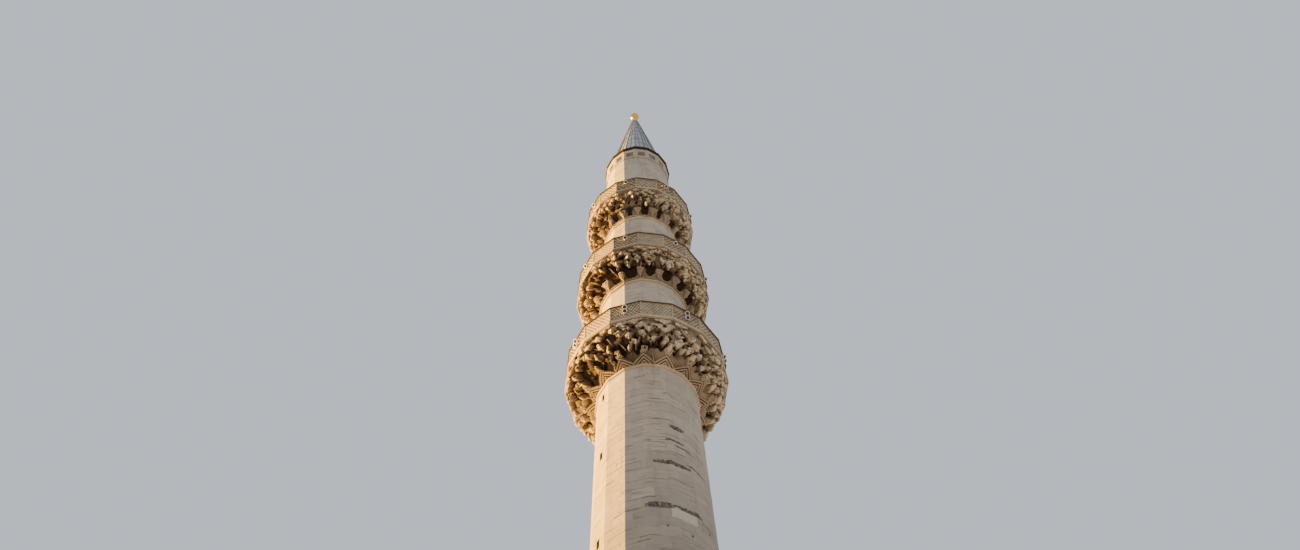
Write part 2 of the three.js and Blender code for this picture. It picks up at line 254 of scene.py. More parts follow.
def stone(
    name, light, dark, mottle=0.32, streaks=0.35, grime_and_shade_color=(0.06, 0.035, 0.02), roughness=0.9, bump=0.5,
    bedding=0.0, low_shade=0.0, repair=None,
):
    """Weathered limestone: tone by block, broad stains, rain streaks, worn beds, dark pores and a fine grain.

    A tone above 1 turns a block to the colour of a repair.
    """
    n = Nodes(name)
    patchy = n.noise(9.0, 6.0, 0.65)
    fine = n.noise(70.0, 5.0, 0.6)
    streak = n.noise(1.0, 5.0, 0.6, stretch=(11.0, 11.0, 0.7))
    share = n.weighed(n.tone, 0.5, n.noise(1.3, 3.0), 0.55)
    color = n.mixed(n.spread(share, 0.25, 0.8), tint(dark), tint(light))
    stains = [(patchy, 0.45, 0.75, mottle, 0.62), (streak, 0.52, 0.72, streaks, 0.5)]
    stains.append((fine, 0.55, 0.8, 0.25, 0.7))
    for pattern, low, high, amount, shade in stains:
        color = n.mixed(n.spread(pattern, low, high, 0.0, amount), color, tint(dark, shade))
    shifted = {0: n.tone, 1: (31.0, 17.0, 23.0), 2: n.place}
    by_stone = n.add("ShaderNodeVectorMath", shifted, operation="MULTIPLY_ADD").outputs[0]
    beds = n.noise(1.0, 6.0, 0.62, stretch=(2.6, 2.6, 34.0), place=by_stone)
    spots = n.spread(n.noise(2.2, 3.0), 0.4, 0.62, 0.15, 1.0)
    worn = n.math("MULTIPLY", n.spread(beds, 0.54, 0.68, 0.0, bedding), spots)
    color = n.mixed(worn, color, tint(dark, 0.42))
    height_above = n.add("ShaderNodeSeparateXYZ", {"Vector": n.place}).outputs["Z"]
    # Painted shade: darker and greyer towards the bottom of the model.
    color = n.mixed(n.spread(height_above, *LOW_SHADE_FADE, low_shade, 0.0), color, tint(LOW_SHADE_COLOR))
    if repair:
        color = n.mixed(n.spread(n.tone, 1.0, 1.5), color, tint(repair))
    # Darker towards one colour by a point attribute: dark joints and dirt on the stones, and painted shade in
    # the carving's recesses, creases and holes, in the floor's edge and inside the parapet's piercing.
    color = n.mixed(n.attribute("grime_and_shade"), color, tint(grime_and_shade_color))
    height = n.math("ADD", patchy, n.math("MULTIPLY", fine, 0.35))
    height = n.math("SUBTRACT", height, n.math("MULTIPLY", worn, 1.2))
    return n.finish(color, roughness, height, bump, 0.012, {"Specular IOR Level": 0.25})


def metal(name, light, dark, roughness, metallic, stains=0.4, scale=6.0, bump=0.25):
    """Weathered metal, glaze or paint: clouded tone by sheet, stains that run down and uneven gloss."""
    n = Nodes(name)
    cloud = n.noise(scale, 5.0, 0.6)
    run = n.noise(1.0, 5.0, 0.6, stretch=(8.0, 8.0, 0.9))
    color = n.mixed(n.spread(n.weighed(n.tone, 0.6, cloud, 0.4), 0.2, 0.8), tint(dark), tint(light))
    color = n.mixed(n.spread(run, 0.5, 0.72, 0.0, stains), color, tint(dark, 0.55))
    rough = n.spread(cloud, 0.3, 0.7, roughness * 0.8, min(1.0, roughness * 1.2))
    return n.finish(color, rough, cloud, bump, 0.01, {"Metallic": metallic})


LIMESTONE = stone(
    "limestone", (0.55, 0.492, 0.41), (0.43, 0.38, 0.312), streaks=0.3, mottle=0.25, bedding=0.95,
    low_shade=0.75, grime_and_shade_color=(0.05, 0.042, 0.034), repair=(0.62, 0.57, 0.48),
)
# Its near-black grime colour paints the shade in the corbels' recesses, pockets, gaps and drilled holes.
CARVED = stone(
    "carved_stone", (0.78, 0.65, 0.48), (0.44, 0.35, 0.25), bump=0.7, grime_and_shade_color=(0.018, 0.010, 0.005),
)
PALE = stone("pale_stone", (0.60, 0.51, 0.375), (0.46, 0.385, 0.275), streaks=0.3)
MORTAR = stone("mortar", (0.27, 0.24, 0.2), (0.13, 0.115, 0.095), bump=0.8, low_shade=0.4)
# The coping's dark colour is partly weathering and partly painted shade, standing for the shadow under its
# lip.
SHADOW_DARK_COPING = stone("dark_coping", (0.12, 0.09, 0.07), (0.07, 0.05, 0.04), roughness=0.75)
LEAD = metal("lead", (0.62, 0.63, 0.64), (0.22, 0.235, 0.26), 0.5, 0.3, stains=0.5)
DARK_LEAD = metal("dark_lead", (0.045, 0.04, 0.038), (0.022, 0.02, 0.019), 0.7, 0.2)
SEAM_LEAD = metal("seam_lead", (0.2, 0.21, 0.225), (0.1, 0.105, 0.115), 0.6, 0.2)
GILT = metal("gilding", (0.95, 0.62, 0.17), (0.75, 0.42, 0.09), 0.24, 1.0, stains=0.15, bump=0.1)
TILE = metal("glazed_tile", (0.075, 0.125, 0.135), (0.03, 0.055, 0.065), 0.3, 0.0, stains=0.2, scale=40.0)
WHITE_PAINT = metal("white_paint", (0.90, 0.90, 0.88), (0.76, 0.76, 0.74), 0.4, 0.0, stains=0.15, scale=30.0)
LENS = metal("lamp_glass", (0.03, 0.03, 0.035), (0.015, 0.015, 0.02), 0.08, 0.0, stains=0.05, bump=0.02)
FRAME_FINISH = {"spire": LEAD, "eave": DARK_LEAD, "frieze": PALE, "footing": LIMESTONE}


# Facing stones: each stands proud of the wall from a foot behind its face, with a chamfered edge
PROUD, FOOT = 0.012, -0.004
CHAMFER_STARTS = 0.7  # share of the chamfer by which a stone's straight flank stops short of its face
JOINT_DIRT, EDGE_DIRT = 0.7, 0.12
COURSE, STONE_LENGTH = 0.34, 0.95
PEDESTAL_COURSE = 0.41
UP = Vector((0, 0, 1))


def stone_block(shape, corners, tone, rng, normal=None, proud=PROUD, joint=0.003, chamfer=0.006):
    """One facing stone over four corners (low left, low right, high right, high left), seen from outside."""
    a, b, c, d = (Vector(p) for p in corners)
    normal = normal or ((b - a).cross(d - a) + (c - b).cross(a - b) + (c - d).cross(b - c)).normalized()
    proud += rng.uniform(-0.002, 0.002)

    def ring(inset, out):
        made = []
        for p, before, after in ((a, d, b), (b, a, c), (c, b, d), (d, c, a)):
            move = Vector((0, 0, 0))
            for edge in (before - p, after - p):
                move += edge * min(0.45, inset / max(edge.length, 1e-6))
            made.append(tuple(p + move + normal * out))
        return made

    worn = chamfer * rng.uniform(0.8, 1.7)
    rings = [ring(joint, FOOT), ring(joint, proud - chamfer * CHAMFER_STARTS), ring(joint + worn, proud)]
    shape.boss(rings, 2, tone, [JOINT_DIRT, EDGE_DIRT, 0.0])


def drum_block(
    shape, block, radius_at, rng, tone, proud=PROUD, joint=0.0028, chamfer=0.005, upright=1.0, dirt_and_shade=0.0,
):
    """One facing stone round a drum, (s0, s1, z0, z1) in sides and metres, bent where it passes a corner.

    upright is the share of the joint and chamfer that the upright edges take.
    """
    s0, s1, z0, z1 = block
    corners = [k + 0.5 for k in range(math.floor(s0 - 0.5), math.ceil(s1 + 0.5))]
    bends = [s for s in corners if s0 + 0.02 < s < s1 - 0.02]
    width = 2 * radius_at((z0 + z1) / 2) * HALF_SIDE
    proud += rng.uniform(-0.0025, 0.0025)
    wear = [chamfer * rng.uniform(0.7, 1.8) for _ in range(4)]
    columns = [(s0 + upright * joint / width, -1, wear[0], wear[2])]
    columns += [(s, 0, chamfer, chamfer) for s in bends]
    columns += [(s1 - upright * joint / width, 1, wear[1], wear[3])]

    def ring(cut, out):
        low, high = z0 + joint, z1 - joint
        bottom, top = [], []
        for s, end, drop, rise in columns:
            inwards = end * cut * upright
            bottom.append(on_side(s - inwards * drop / width, radius_at(low) + out, low + cut * drop))
            top.append(on_side(s - inwards * rise / width, radius_at(high) + out, high - cut * rise))
        return bottom + top[::-1]

    rings = [ring(0, FOOT), ring(0, proud - chamfer * CHAMFER_STARTS), ring(1, proud)]
    shape.boss(rings, len(columns), tone, [JOINT_DIRT, max(EDGE_DIRT, dirt_and_shade), dirt_and_shade])


def around_holes(part, holes):
    """What is left of a stone (s0, s1, z0, z1) beside, below and above the holes."""
    parts = [part]
    for h0, h1, low, high in holes:
        for turn in (-SIDES, 0, SIDES):
            a, b = h0 + turn, h1 + turn
            left = []
            for p0, p1, q0, q1 in parts:
                if b <= p0 or a >= p1 or high <= q0 or low >= q1:
                    left.append((p0, p1, q0, q1))
                    continue
                m0, m1 = max(p0, a), min(p1, b)
                around = [(p0, a, q0, q1), (b, p1, q0, q1), (m0, m1, q0, low), (m0, m1, high, q1)]
                left += [rest for rest in around if rest[0] < rest[1] and rest[2] < rest[3]]
            parts = left
    return [p for p in parts if p[1] - p[0] > 0.008 and p[3] - p[2] > 0.02]


JOINT_WIDTHS = (0.0005, 0.001, 0.002, 0.004, 0.007)
CUT_JOINT = 0.0006  # the widest joint round the parts of a stone that a hole cuts


def ashlar_drum(shape, z0, z1, radius_at, rng, holes=(), tone_of=lambda s, z: None):
    """Courses of facing stones round a drum. holes are (s0, s1, z0, z1), tone_of gives marked tones."""
    count = max(1, round((z1 - z0) / COURSE))
    shifts = [rng.uniform(-0.12, 0.12) if 0 < c < count else 0 for c in range(count + 1)]
    levels = [z0 + (z1 - z0) * (c + shift) / count for c, shift in enumerate(shifts)]
    for c, (low, high) in enumerate(zip(levels, levels[1:])):
        bond = 0.25 if c % 2 else -0.25
        cuts = sorted(k + bond + rng.uniform(-0.09, 0.09) for k in range(SIDES))
        shade = rng.uniform(-0.1, 0.1)
        joint = rng.choice(JOINT_WIDTHS)
        for s0, s1 in zip(cuts, cuts[1:] + [cuts[0] + SIDES]):
            tone = 0.5 + shade + rng.uniform(-0.28, 0.28)
            tone += rng.choice((-0.35, 0.4)) if rng.random() < 0.07 else 0
            parts = around_holes((s0, s1, low, high), holes)
            width = joint if len(parts) == 1 else min(joint, CUT_JOINT)
            for part in parts:
                marked = tone_of((part[0] + part[1]) / 2, (part[2] + part[3]) / 2)
                drum_block(
                    shape, part, radius_at, rng, tone if marked is None else marked,
                    joint=width, chamfer=0.003 + width, upright=0.12,
                )


def s_at(across, radius):
    """How many sides from a side's middle a point on the drum is when it is that far across."""
    half = radius * HALF_SIDE
    if across <= half:
        return across / (2 * half)
    return 0.5 + (across - half) / math.cos(SIDE) / (2 * half)


def ashlar_wall(shape, at, width, z0, z1, course, rng, hole=None):
    """Courses over a flat wall. at(u, z) is a point on it, hole(z) the half width left open there."""
    count = max(1, round((z1 - z0) / course))
    for c in range(count):
        low, high = z0 + (z1 - z0) * c / count, z0 + (z1 - z0) * (c + 1) / count
        open_half = max(hole(low), hole(high)) if hole else 0.0
        spans = [(-width / 2, -open_half), (open_half, width / 2)] if open_half else [(-width / 2, width / 2)]
        for start, end in spans:
            parts = max(1, round((end - start) / STONE_LENGTH))
            bond = 0.5 if c % 2 and parts > 1 else 0
            cuts = [start + (end - start) * (i + bond) / parts for i in range(parts)]
            cuts = [start] + [u + rng.uniform(-0.06, 0.06) for u in cuts if u > start + 0.15] + [end]
            for u0, u1 in zip(cuts, cuts[1:]):
                tone = 0.5 + rng.uniform(-0.3, 0.3)
                stone_block(shape, [at(u0, low), at(u1, low), at(u1, high), at(u0, high)], tone, rng)


# Carved corbels: faceted bodies that stand out from recesses painted dark as shade, in tiers from the neck to
# the floor's rim.
# They are cut into a cone, over a grid of sides s round it and shares t of the way out.
# Tiers of bodies: share of the way out, bodies a side, where the first hangs, half width in sides,
# how far each runs inwards and outwards, how far it stands out in metres.
LOWEST_TIERS = [
    (0.36, 2, 0.0, 0.13, 0.13, 0.1, 0.05), (0.48, 2, 0.25, 0.16, 0.11, 0.1, 0.075),
    (0.61, 2, 0.0, 0.17, 0.11, 0.09, 0.08), (0.73, 2, 0.25, 0.18, 0.09, 0.075, 0.065),
    (0.84, 2, 0.0, 0.19, 0.08, 0.065, 0.05), (0.93, 2, 0.25, 0.225, 0.06, 0.07, 0.04),
]
UPPER_TIERS = [
    (0.58, 1, 0.0, 0.25, 0.13, 0.13, 0.09), (0.6, 1, 0.5, 0.16, 0.1, 0.08, 0.06),
    (0.7, 2, 0.25, 0.17, 0.1, 0.07, 0.07), (0.8, 2, 0.0, 0.17, 0.08, 0.06, 0.055),
    (0.88, 2, 0.25, 0.2, 0.07, 0.05, 0.045), (0.94, 2, 0.0, 0.225, 0.055, 0.06, 0.035),
]
UPPER = {
    "tiers": UPPER_TIERS, "zigzag": False, "ledge_fold": (0.045, 0.03), "soot_and_shade": 0.57, "dark_side": 0.92,
    "dark_side_reach": 3.0, "pockets": (0.0,), "pocket_wide": (0.32, 0.0), "pocket_stray": 1, "hollows_from": 0.5,
    "ribs": 18, "dark_side_soot_and_shade": 0.0, "swell": 0.03, "swell_bend": 1.0,
}
CARVINGS = {
    1: {
        **UPPER, "tiers": LOWEST_TIERS, "zigzag": True, "ledge_fold": (0.062, 0.05), "dark_side_reach": 2.6,
        "pockets": (-0.25, 0.25), "pocket_wide": (0.12, 0.06), "hollows_from": 0.0, "ribs": 34,
        "dark_side_soot_and_shade": 0.45, "swell": 0.18, "swell_bend": 0.75,
    },
    2: UPPER,
    3: {**UPPER, "soot_and_shade": 0.45, "dark_side": 0.6, "pocket_wide": (0.2, 0.0), "pocket_stray": 3},
}
RECESS, GAP = -0.17, -0.05  # heights over the cone of the dark recesses, and between the bodies
SIDE_METRES, SLOPE_METRES = 0.7, 1.1  # about how wide a side and how long the slope is, for the folds
DARK_SIDE_BEARING, SOOT_AND_SHADE_BEARING, POCKETS = (7.9, 3.0), (8.2, 2.9), (8.3, 3.2)  # bearing and reach of the left side, where the corbels take soot and painted shade and their pockets are wider, in sides
PER_SIDE, SLOPE_STEPS = 46, 112


def smooth(low, high, value):
    share = np.clip((value - low) / (high - low), 0.0, 1.0)
    return share * share * (3 - 2 * share)


def apart(s, place):
    return (s - place + SIDES / 2) % SIDES - SIDES / 2


def near_bearing(s, bearing, reach):
    """1 at the bearing, and less the further round a place is."""
    return np.exp(-(apart(s, bearing) / reach) ** 2)


def crease(along):
    """Straight folds: 0 in each crease, 1 on each ridge between them."""
    return np.abs(along % 1 - 0.5) * 2


class Carving:
    """Height over the cone in metres, grime and painted shade, and tone, each over the grid."""

    def __init__(self, s, t, rng):
        self.s = s[None, :] + np.zeros((len(t), 1))
        self.t = t[:, None] + np.zeros_like(self.s)
        self.height = np.zeros_like(self.t)
        self.grime_and_shade = 0.12 + np.zeros_like(self.t)
        self.tone = np.zeros_like(self.t)
        self.rng = rng

    def draw(self, size):
        """One draw for each side."""
        return np.array([self.rng.uniform(-size, size) for _ in range(SIDES)])

    def darken(self, dirt_and_shade):
        self.grime_and_shade = np.maximum(self.grime_and_shade, dirt_and_shade)

    def sink(self, level, amount, dirt_and_shade):
        """Lower the surface to a level by an amount from 0 to 1, and paint it darker there as shade in the
        recess.
        """
        self.height = self.height + (level - self.height) * amount
        self.darken(dirt_and_shade * amount)

    def neck(self, kind):
        """A ledge with thin lines along it, fans that open from it at the corners, and niches."""
        s, t = self.s, self.t
        side, corner = np.round(s).astype(int) % SIDES, np.floor(s).astype(int) % SIDES
        from_middle = np.abs(s - np.round(s))
        middle = 2 * from_middle
        soot_and_shade = 0.35 + kind["soot_and_shade"] * near_bearing(s, *SOOT_AND_SHADE_BEARING) + self.draw(0.12)[side]
        ledge = 0.055 + 0.15 * middle if kind["zigzag"] else 0.06 + 0.03 * np.sqrt(np.clip(1 - middle, 0, 1))
        ledge = ledge + self.draw(0.01)[side]
        self.tone = 0.55 + self.draw(0.25)[corner]

        fold, depth = kind["ledge_fold"]
        folds = crease((ledge - t) / fold + 0.5)
        band = (t > 0.01) & (t < ledge)
        self.height = self.height + np.where(band, depth * (folds - 1), 0)
        # Painted shade in the creases of the ledge's folds.
        self.darken(np.where(band, 0.2 + 0.75 * smooth(0.65, 0.15, folds), 0.1))

        from_corner = 0.5 - from_middle
        foot = (0.02 + 0.25 * np.clip((t - 0.04) / 0.3, 0, 1) ** 1.4) * (1 + self.draw(0.2)[corner])
        folds = crease((foot - from_corner) / 0.075 + 0.5)
        fan = (from_corner < foot) & (t > ledge)
        self.height = self.height + np.where(fan, 0.024 * (folds - 1), 0)
        # Painted shade in the creases of the fans.
        self.darken(np.where(fan, 0.15 + 0.7 * smooth(0.6, 0.1, folds), 0))

        niche = smooth(-0.012, 0.012, from_corner - foot) * smooth(0.0, 0.02, t - ledge)
        self.height = self.height - niche * (0.1 + 0.05 * (1 - middle))
        # Painted shade in the niches, with soot and more shade on the left side.
        self.darken(niche * np.clip(soot_and_shade, 0, 0.95))

        beyond = smooth(0.0, 0.012, t - (0.345 + self.draw(0.015)[corner])) * (t < 0.99)
        dark_side = near_bearing(s, DARK_SIDE_BEARING[0], kind["dark_side_reach"]) * kind["dark_side"]
        deep = np.maximum(1 - smooth(0.42, 0.52, t), dark_side * (1 - smooth(0.78, 0.9, t)))
        # Painted shade in the recess beyond the niches, darker where it lies deep, with soot and more shade
        # on the left side.
        dirt_and_shade = np.clip(0.4 + 0.45 * deep + 0.35 * dark_side, 0, 0.97)
        self.sink(GAP - 0.02 + (RECESS - GAP) * deep, beyond, dirt_and_shade)

    def pockets(self, kind):
        """Pockets between the fans, wide on the lowest corbel's left side and scattered on its rest, painted
        near black inside as shade.
        """
        rng = self.rng
        base, more = kind["pocket_wide"]
        for place in [k + shift for k in range(SIDES) for shift in kind["pockets"]]:
            dark_side = near_bearing(place, *POCKETS)
            wide = (base + more * dark_side) * rng.uniform(0.75, 1.2)
            if kind["zigzag"]:
                low = 0.27 - 0.1 * dark_side + rng.uniform(-0.05, 0.13) * (1 - dark_side)
            else:
                low = 0.13 + rng.uniform(-0.04, 0.04)
            away = apart(self.s, place + rng.uniform(-0.08, 0.08) * kind["pocket_stray"])
            if kind["zigzag"] and rng.random() < 0.28 * (1 - dark_side):
                continue
            deep = 1 - (np.abs(away) / wide) ** 1.3 - (np.clip(low + 0.1 - self.t, 0, 1) / 0.1) ** 1.3
            self.sink(RECESS - 0.04, smooth(0.0, 0.12, deep) * smooth(0.56, 0.48, self.t), 0.97)

    def body(self, place, share, wide, inwards, outwards, out):
        """Height and painted crease shade of one body: faces that meet in a keel, cut with folds that meet on
        it too.
        """
        rng, t = self.rng, self.t
        away = apart(self.s, place) + rng.uniform(-0.5, 0.5) * (t - share)
        u = np.abs(away) / wide
        v = (t - share) / np.where(t < share, inwards, outwards)
        inner = np.maximum(u * rng.uniform(0.75, 0.9) + np.abs(v) * rng.uniform(0.9, 1.1), u)
        outer = np.maximum(u * (1 - rng.uniform(-0.2, 0.4) * np.abs(v)), np.abs(v))
        edge = np.where(t < share, inner, outer)
        angle = rng.choice((rng.uniform(0.5, 1.1), rng.uniform(-1.0, -0.5)))
        run = np.abs(away) * SIDE_METRES * math.cos(angle) + (t - share) * SLOPE_METRES * math.sin(angle)
        folds = crease(run / rng.uniform(0.08, 0.13) + rng.random())
        tilt = rng.uniform(-0.6, 0.6) * away / wide + rng.uniform(-0.5, 0.5) * v
        top = out * (1 - 1.1 * u - 0.3 * np.abs(v) + 0.25 * np.clip(v, 0, 1) + tilt) + 0.026 * (folds - 0.6)
        dirt_and_shade = 0.75 * smooth(0.35, 0.05, folds)
        return np.where(edge < 1, top + (GAP - top) * smooth(0.85, 1.0, edge), 2 * RECESS), dirt_and_shade, away

    def bodies(self, kind):
        """The tiers of bodies with hollows beside them. Returns where the inner ones may carry a pendant."""
        rng, buds = self.rng, []
        for share, count, first, wide, inwards, outwards, out in kind["tiers"]:
            for i in range(SIDES * count):
                place = first + (i + rng.uniform(-0.12, 0.12)) / count
                dark_side = near_bearing(place, *DARK_SIDE_BEARING)
                if rng.random() < 0.05 + (0.62 if share < 0.75 else 0.25) * dark_side:
                    continue
                near = share + rng.uniform(-0.02, 0.02)
                size = wide * rng.uniform(0.8, 1.12)
                length = inwards * rng.uniform(0.75, 1.3)
                proud = out * rng.uniform(0.7, 1.3)
                made, lines, away = self.body(place, near, size, length, outwards, proud)
                over = made > self.height
                shade = rng.uniform(0.2, 1.0)
                # One half of each body painted lighter and the other darker, as painted shading of its two
                # faces.
                painted_facet_shade = np.where(away > 0, 0.28, -0.28) * rng.choice((-1, 1))
                keel = smooth(0.24, 0.08, np.abs(away) / wide)
                # Soot and painted shade over the left side's bodies, all but their keels; painted shade where
                # a body sinks into the gaps and in its fold creases.
                soot_and_shade = dark_side * rng.uniform(0.75, 1.0) * (1 - keel) * (1 if share < 0.8 else 0.7)
                dirt_and_shade = np.maximum(np.maximum(0.8 * smooth(0.0, -0.05, made), lines), soot_and_shade)
                self.height = np.where(over, made, self.height)
                self.grime_and_shade = np.where(over, dirt_and_shade, self.grime_and_shade)
                self.tone = np.where(over, shade + painted_facet_shade, self.tone)
                if share < 0.7:
                    buds.append((place, near - length * 0.75, size, shade))
            # Gaps between the bodies, painted near black inside as shade.
            for i in range(SIDES * count):
                if rng.random() < 0.15:
                    continue
                away = apart(self.s, first + (i + 0.5 + rng.uniform(-0.1, 0.1)) / count)
                away = away / (wide * rng.uniform(0.35, 0.75))
                along = self.t - share + inwards * rng.uniform(0.0, 0.4)
                along = along / (inwards * rng.uniform(0.35, 0.7))
                skewed = np.abs(along - rng.uniform(-0.5, 0.5) * away)
                self.sink(RECESS, smooth(1.0, 0.8, np.abs(away) + skewed), 0.97)
        return buds

    def hollows(self, kind):
        """Broken hollows, most of them on the left side, painted near black inside as shade."""
        rng = self.rng
        for i in range(SIDES * 3):
            place, near = i / 3 + rng.uniform(-0.15, 0.15), rng.uniform(0.36, 0.72)
            dark_side = near_bearing(place, *DARK_SIDE_BEARING)
            if rng.random() > 0.5 + 0.5 * dark_side or near < kind["hollows_from"]:
                continue
            size = rng.uniform(0.7, 1.1) * (1 + 0.35 * dark_side)
            lean = rng.uniform(-0.6, 0.6)
            away, along = apart(self.s, place) / (0.13 * size), (self.t - near) / (0.07 * size)
            hollow = smooth(1.0, 0.75, np.abs(away + lean * along) + 0.8 * np.abs(along))
            self.sink(RECESS - 0.02, hollow, 0.98)

    def ribs(self, count):
        """Thin straight ribs that are left standing over the dark hollows."""
        rng = self.rng
        for _ in range(count):
            place, near = DARK_SIDE_BEARING[0] + rng.gauss(0.0, 1.9), rng.uniform(0.08, 0.8)
            angle, reach = rng.uniform(0, math.pi), rng.uniform(0.05, 0.15)
            over, up = apart(self.s, place) * SIDE_METRES, (self.t - near) * SLOPE_METRES
            along = over * math.cos(angle) + up * math.sin(angle)
            across = up * math.cos(angle) - over * math.sin(angle)
            rib = smooth(0.022, 0.008, np.abs(across)) * (np.abs(along) < reach) * (self.t > 0.05)
            self.height = np.maximum(self.height, (GAP + 0.07) * rib - 1.0 * (1 - rib))
            self.grime_and_shade = np.minimum(self.grime_and_shade, 1 - 0.8 * rib)

    def drilled(self, count):
        """Small drilled holes, strewn over the bodies and painted near black inside as shade."""
        rng = self.rng
        for _ in range(count):
            place, near = rng.uniform(0, SIDES), rng.uniform(0.25, 0.93)
            ring = (apart(self.s, place) / rng.uniform(0.02, 0.05)) ** 2
            ring = ring + ((self.t - near) / rng.uniform(0.01, 0.028)) ** 2
            hole = smooth(1.2, 0.7, ring)
            self.height = self.height - 0.1 * hole
            self.darken(0.96 * hole)

    def settle(self, kind):
        """Soot and painted shade on the left side, the whole cone's swell, and an end to the relief at the
        neck and the rim.
        """
        t = self.t
        self.darken(kind["dark_side_soot_and_shade"] * near_bearing(self.s, DARK_SIDE_BEARING[0], 2.2) * smooth(0.95, 0.8, t))
        self.height = self.height + kind["swell"] * np.sin(np.pi * t ** kind["swell_bend"])
        self.height = self.height * (np.clip(t / 0.03, 0, 1) * np.clip((1 - t) / 0.03, 0, 1))
        self.grime_and_shade = np.clip(self.grime_and_shade, 0, 0.98)
        self.tone = np.clip(self.tone, 0, 1)


# A pendant's profile: share of its half width, height as a share of its drop, how deep its star is cut, and
# painted shade, darkest in its drilled end and in the crease above its bud
PENDANT = [
    (0.0, -0.8, 0.0, 0.98), (0.1, -0.82, 0.0, 0.95), (0.13, -1.0, 0.0, 0.3), (0.24, -1.0, 0.0, 0.0),
    (0.31, -0.88, 0.0, 0.0), (0.22, -0.74, 0.1, 0.35), (0.34, -0.55, 0.3, 0.1), (0.62, -0.3, 0.45, 0.0),
    (0.9, -0.05, 0.5, 0.1), (1.0, 0.5, 0.4, 0.5),
]
PENDANT_POINTS = 10


def pendant(shape, bearing, radius, z, width, drop, tone, lean, turn):
    """A carved drop under a keel: a star-shaped cap, a tapering stem, and a bud with a drilled end."""
    rows = []
    for share, height, star, _ in PENDANT:
        r = radius + lean * height * drop
        row = []
        for i, a in enumerate(circle(PENDANT_POINTS)):
            w = share * width / 2 * (1 - (star if i % 2 else 0))
            x = r * math.cos(bearing) + w * math.cos(turn + a)
            row.append((x, r * math.sin(bearing) + w * math.sin(turn + a), z + height * drop))
        rows.append(row)
    # Alternate faces of the star painted lighter and darker, as painted shading of each point's two flanks.
    tone_of = lambda i, j: min(1.0, max(0.0, tone + (0.15 if i % 2 else -0.15)))
    shape.grid(rows, tone_of, [dirt_and_shade for *_, dirt_and_shade in PENDANT], closed=True)


# The bead under a corbel: steps outwards and upwards from the neck, and painted shade, dark in the bead's
# groove
NECK_BEAD = [
    (-0.03, 0.0, 0.05), (0.012, 0.008, 0.05), (0.02, 0.022, 0.05), (0.005, 0.034, 0.6), (0.005, 0.04, 0.6),
    (0.015, 0.046, 0.05), (0.015, 0.07, 0.05), (0.0, 0.078, 0.05),
]


def build_corbel(number, spec):
    low, rise, neck, bore = spec.level, spec.rise, spec.neck, spec.bore[0]
    rim = spec.rim - FLOOR_COVE
    rng = random.Random(40 + number)
    s = np.arange(SIDES * PER_SIDE) / PER_SIDE - 0.5
    t = np.linspace(0, 1, SLOPE_STEPS)
    bearing = s * SIDE
    flat = APOTHEM / np.cos((s - np.round(s)) * SIDE)
    cut = Carving(s, t, rng)
    kind = CARVINGS[number]
    cut.neck(kind)
    cut.pockets(kind)
    buds = cut.bodies(kind)
    cut.hollows(kind)
    cut.ribs(kind["ribs"])
    cut.drilled(SIDES * 9)
    cut.settle(kind)

    def plain(r, z):
        return [(float(r * f * math.cos(b)), float(r * f * math.sin(b)), z) for f, b in zip(flat, bearing)]

    rows = [plain(bore, low + rise), plain(bore, low)]
    rows += [plain(neck + out, low + up) for out, up, _ in NECK_BEAD]
    row_grime_and_shade = [0.05, 0.05] + [dirt_and_shade for *_, dirt_and_shade in NECK_BEAD]
    first = len(rows)
    across, along = rim - neck, rise - NECK_RISE
    slope = math.hypot(across, along)
    for j, share in enumerate(t):
        row = []
        for i in range(len(s)):
            out = cut.height[j, i]
            r = (neck + across * share + out * along / slope) * flat[i]
            z = low + NECK_RISE + along * share - out * across / slope
            x, y = r * math.cos(bearing[i]), r * math.sin(bearing[i])
            point = Vector((x, y, z))
            worn = solid_noise.noise(point * 7) * 0.008 + solid_noise.noise(point * 25) * 0.005
            worn *= min(1.0, share * 12, (1 - share) * 20)
            grow = 1 + worn / r
            row.append((float(x * grow), float(y * grow), float(min(z - worn * 0.6, low + rise - 0.004))))
        rows.append(row)
        row_grime_and_shade.append([float(g) for g in cut.grime_and_shade[j]])
    shape = Shape()
    tone_of = lambda i, j: float(cut.tone[max(0, min(len(t) - 1, j - first)), i])
    shape.grid(rows + [plain(bore, low + rise)], tone_of, row_grime_and_shade + [0.3], closed=True)
    for place, share, wide, shade in buds:
        if rng.random() < 0.3:
            continue
        r = (neck + across * share) * APOTHEM / math.cos((place - round(place)) * SIDE)
        z = low + NECK_RISE + along * share - 0.02
        width = wide * 2 * r * HALF_SIDE * rng.uniform(0.45, 0.75)
        drop, lean, turn = width * rng.uniform(0.6, 1.1), rng.uniform(0.2, 0.6), rng.uniform(0, 6)
        pendant(shape, place * SIDE, r, z, width, drop, min(1.0, shade + 0.2), lean, turn)
    piece(f"balcony_{number}_muqarnas", shape, CARVED, [f"balcony_{number}_corbel"])


# Base: footing, pedestal, entrance, cornice, transition and ring moulding
SLAB = {"joint": 0.004, "chamfer": 0.012}
FLOOR_SLAB = {"proud": 0.006, "joint": 0.004, "chamfer": 0.003}
FLOOR_SLAB_DEPTH, FLOOR_MARGIN = 0.6, 0.01


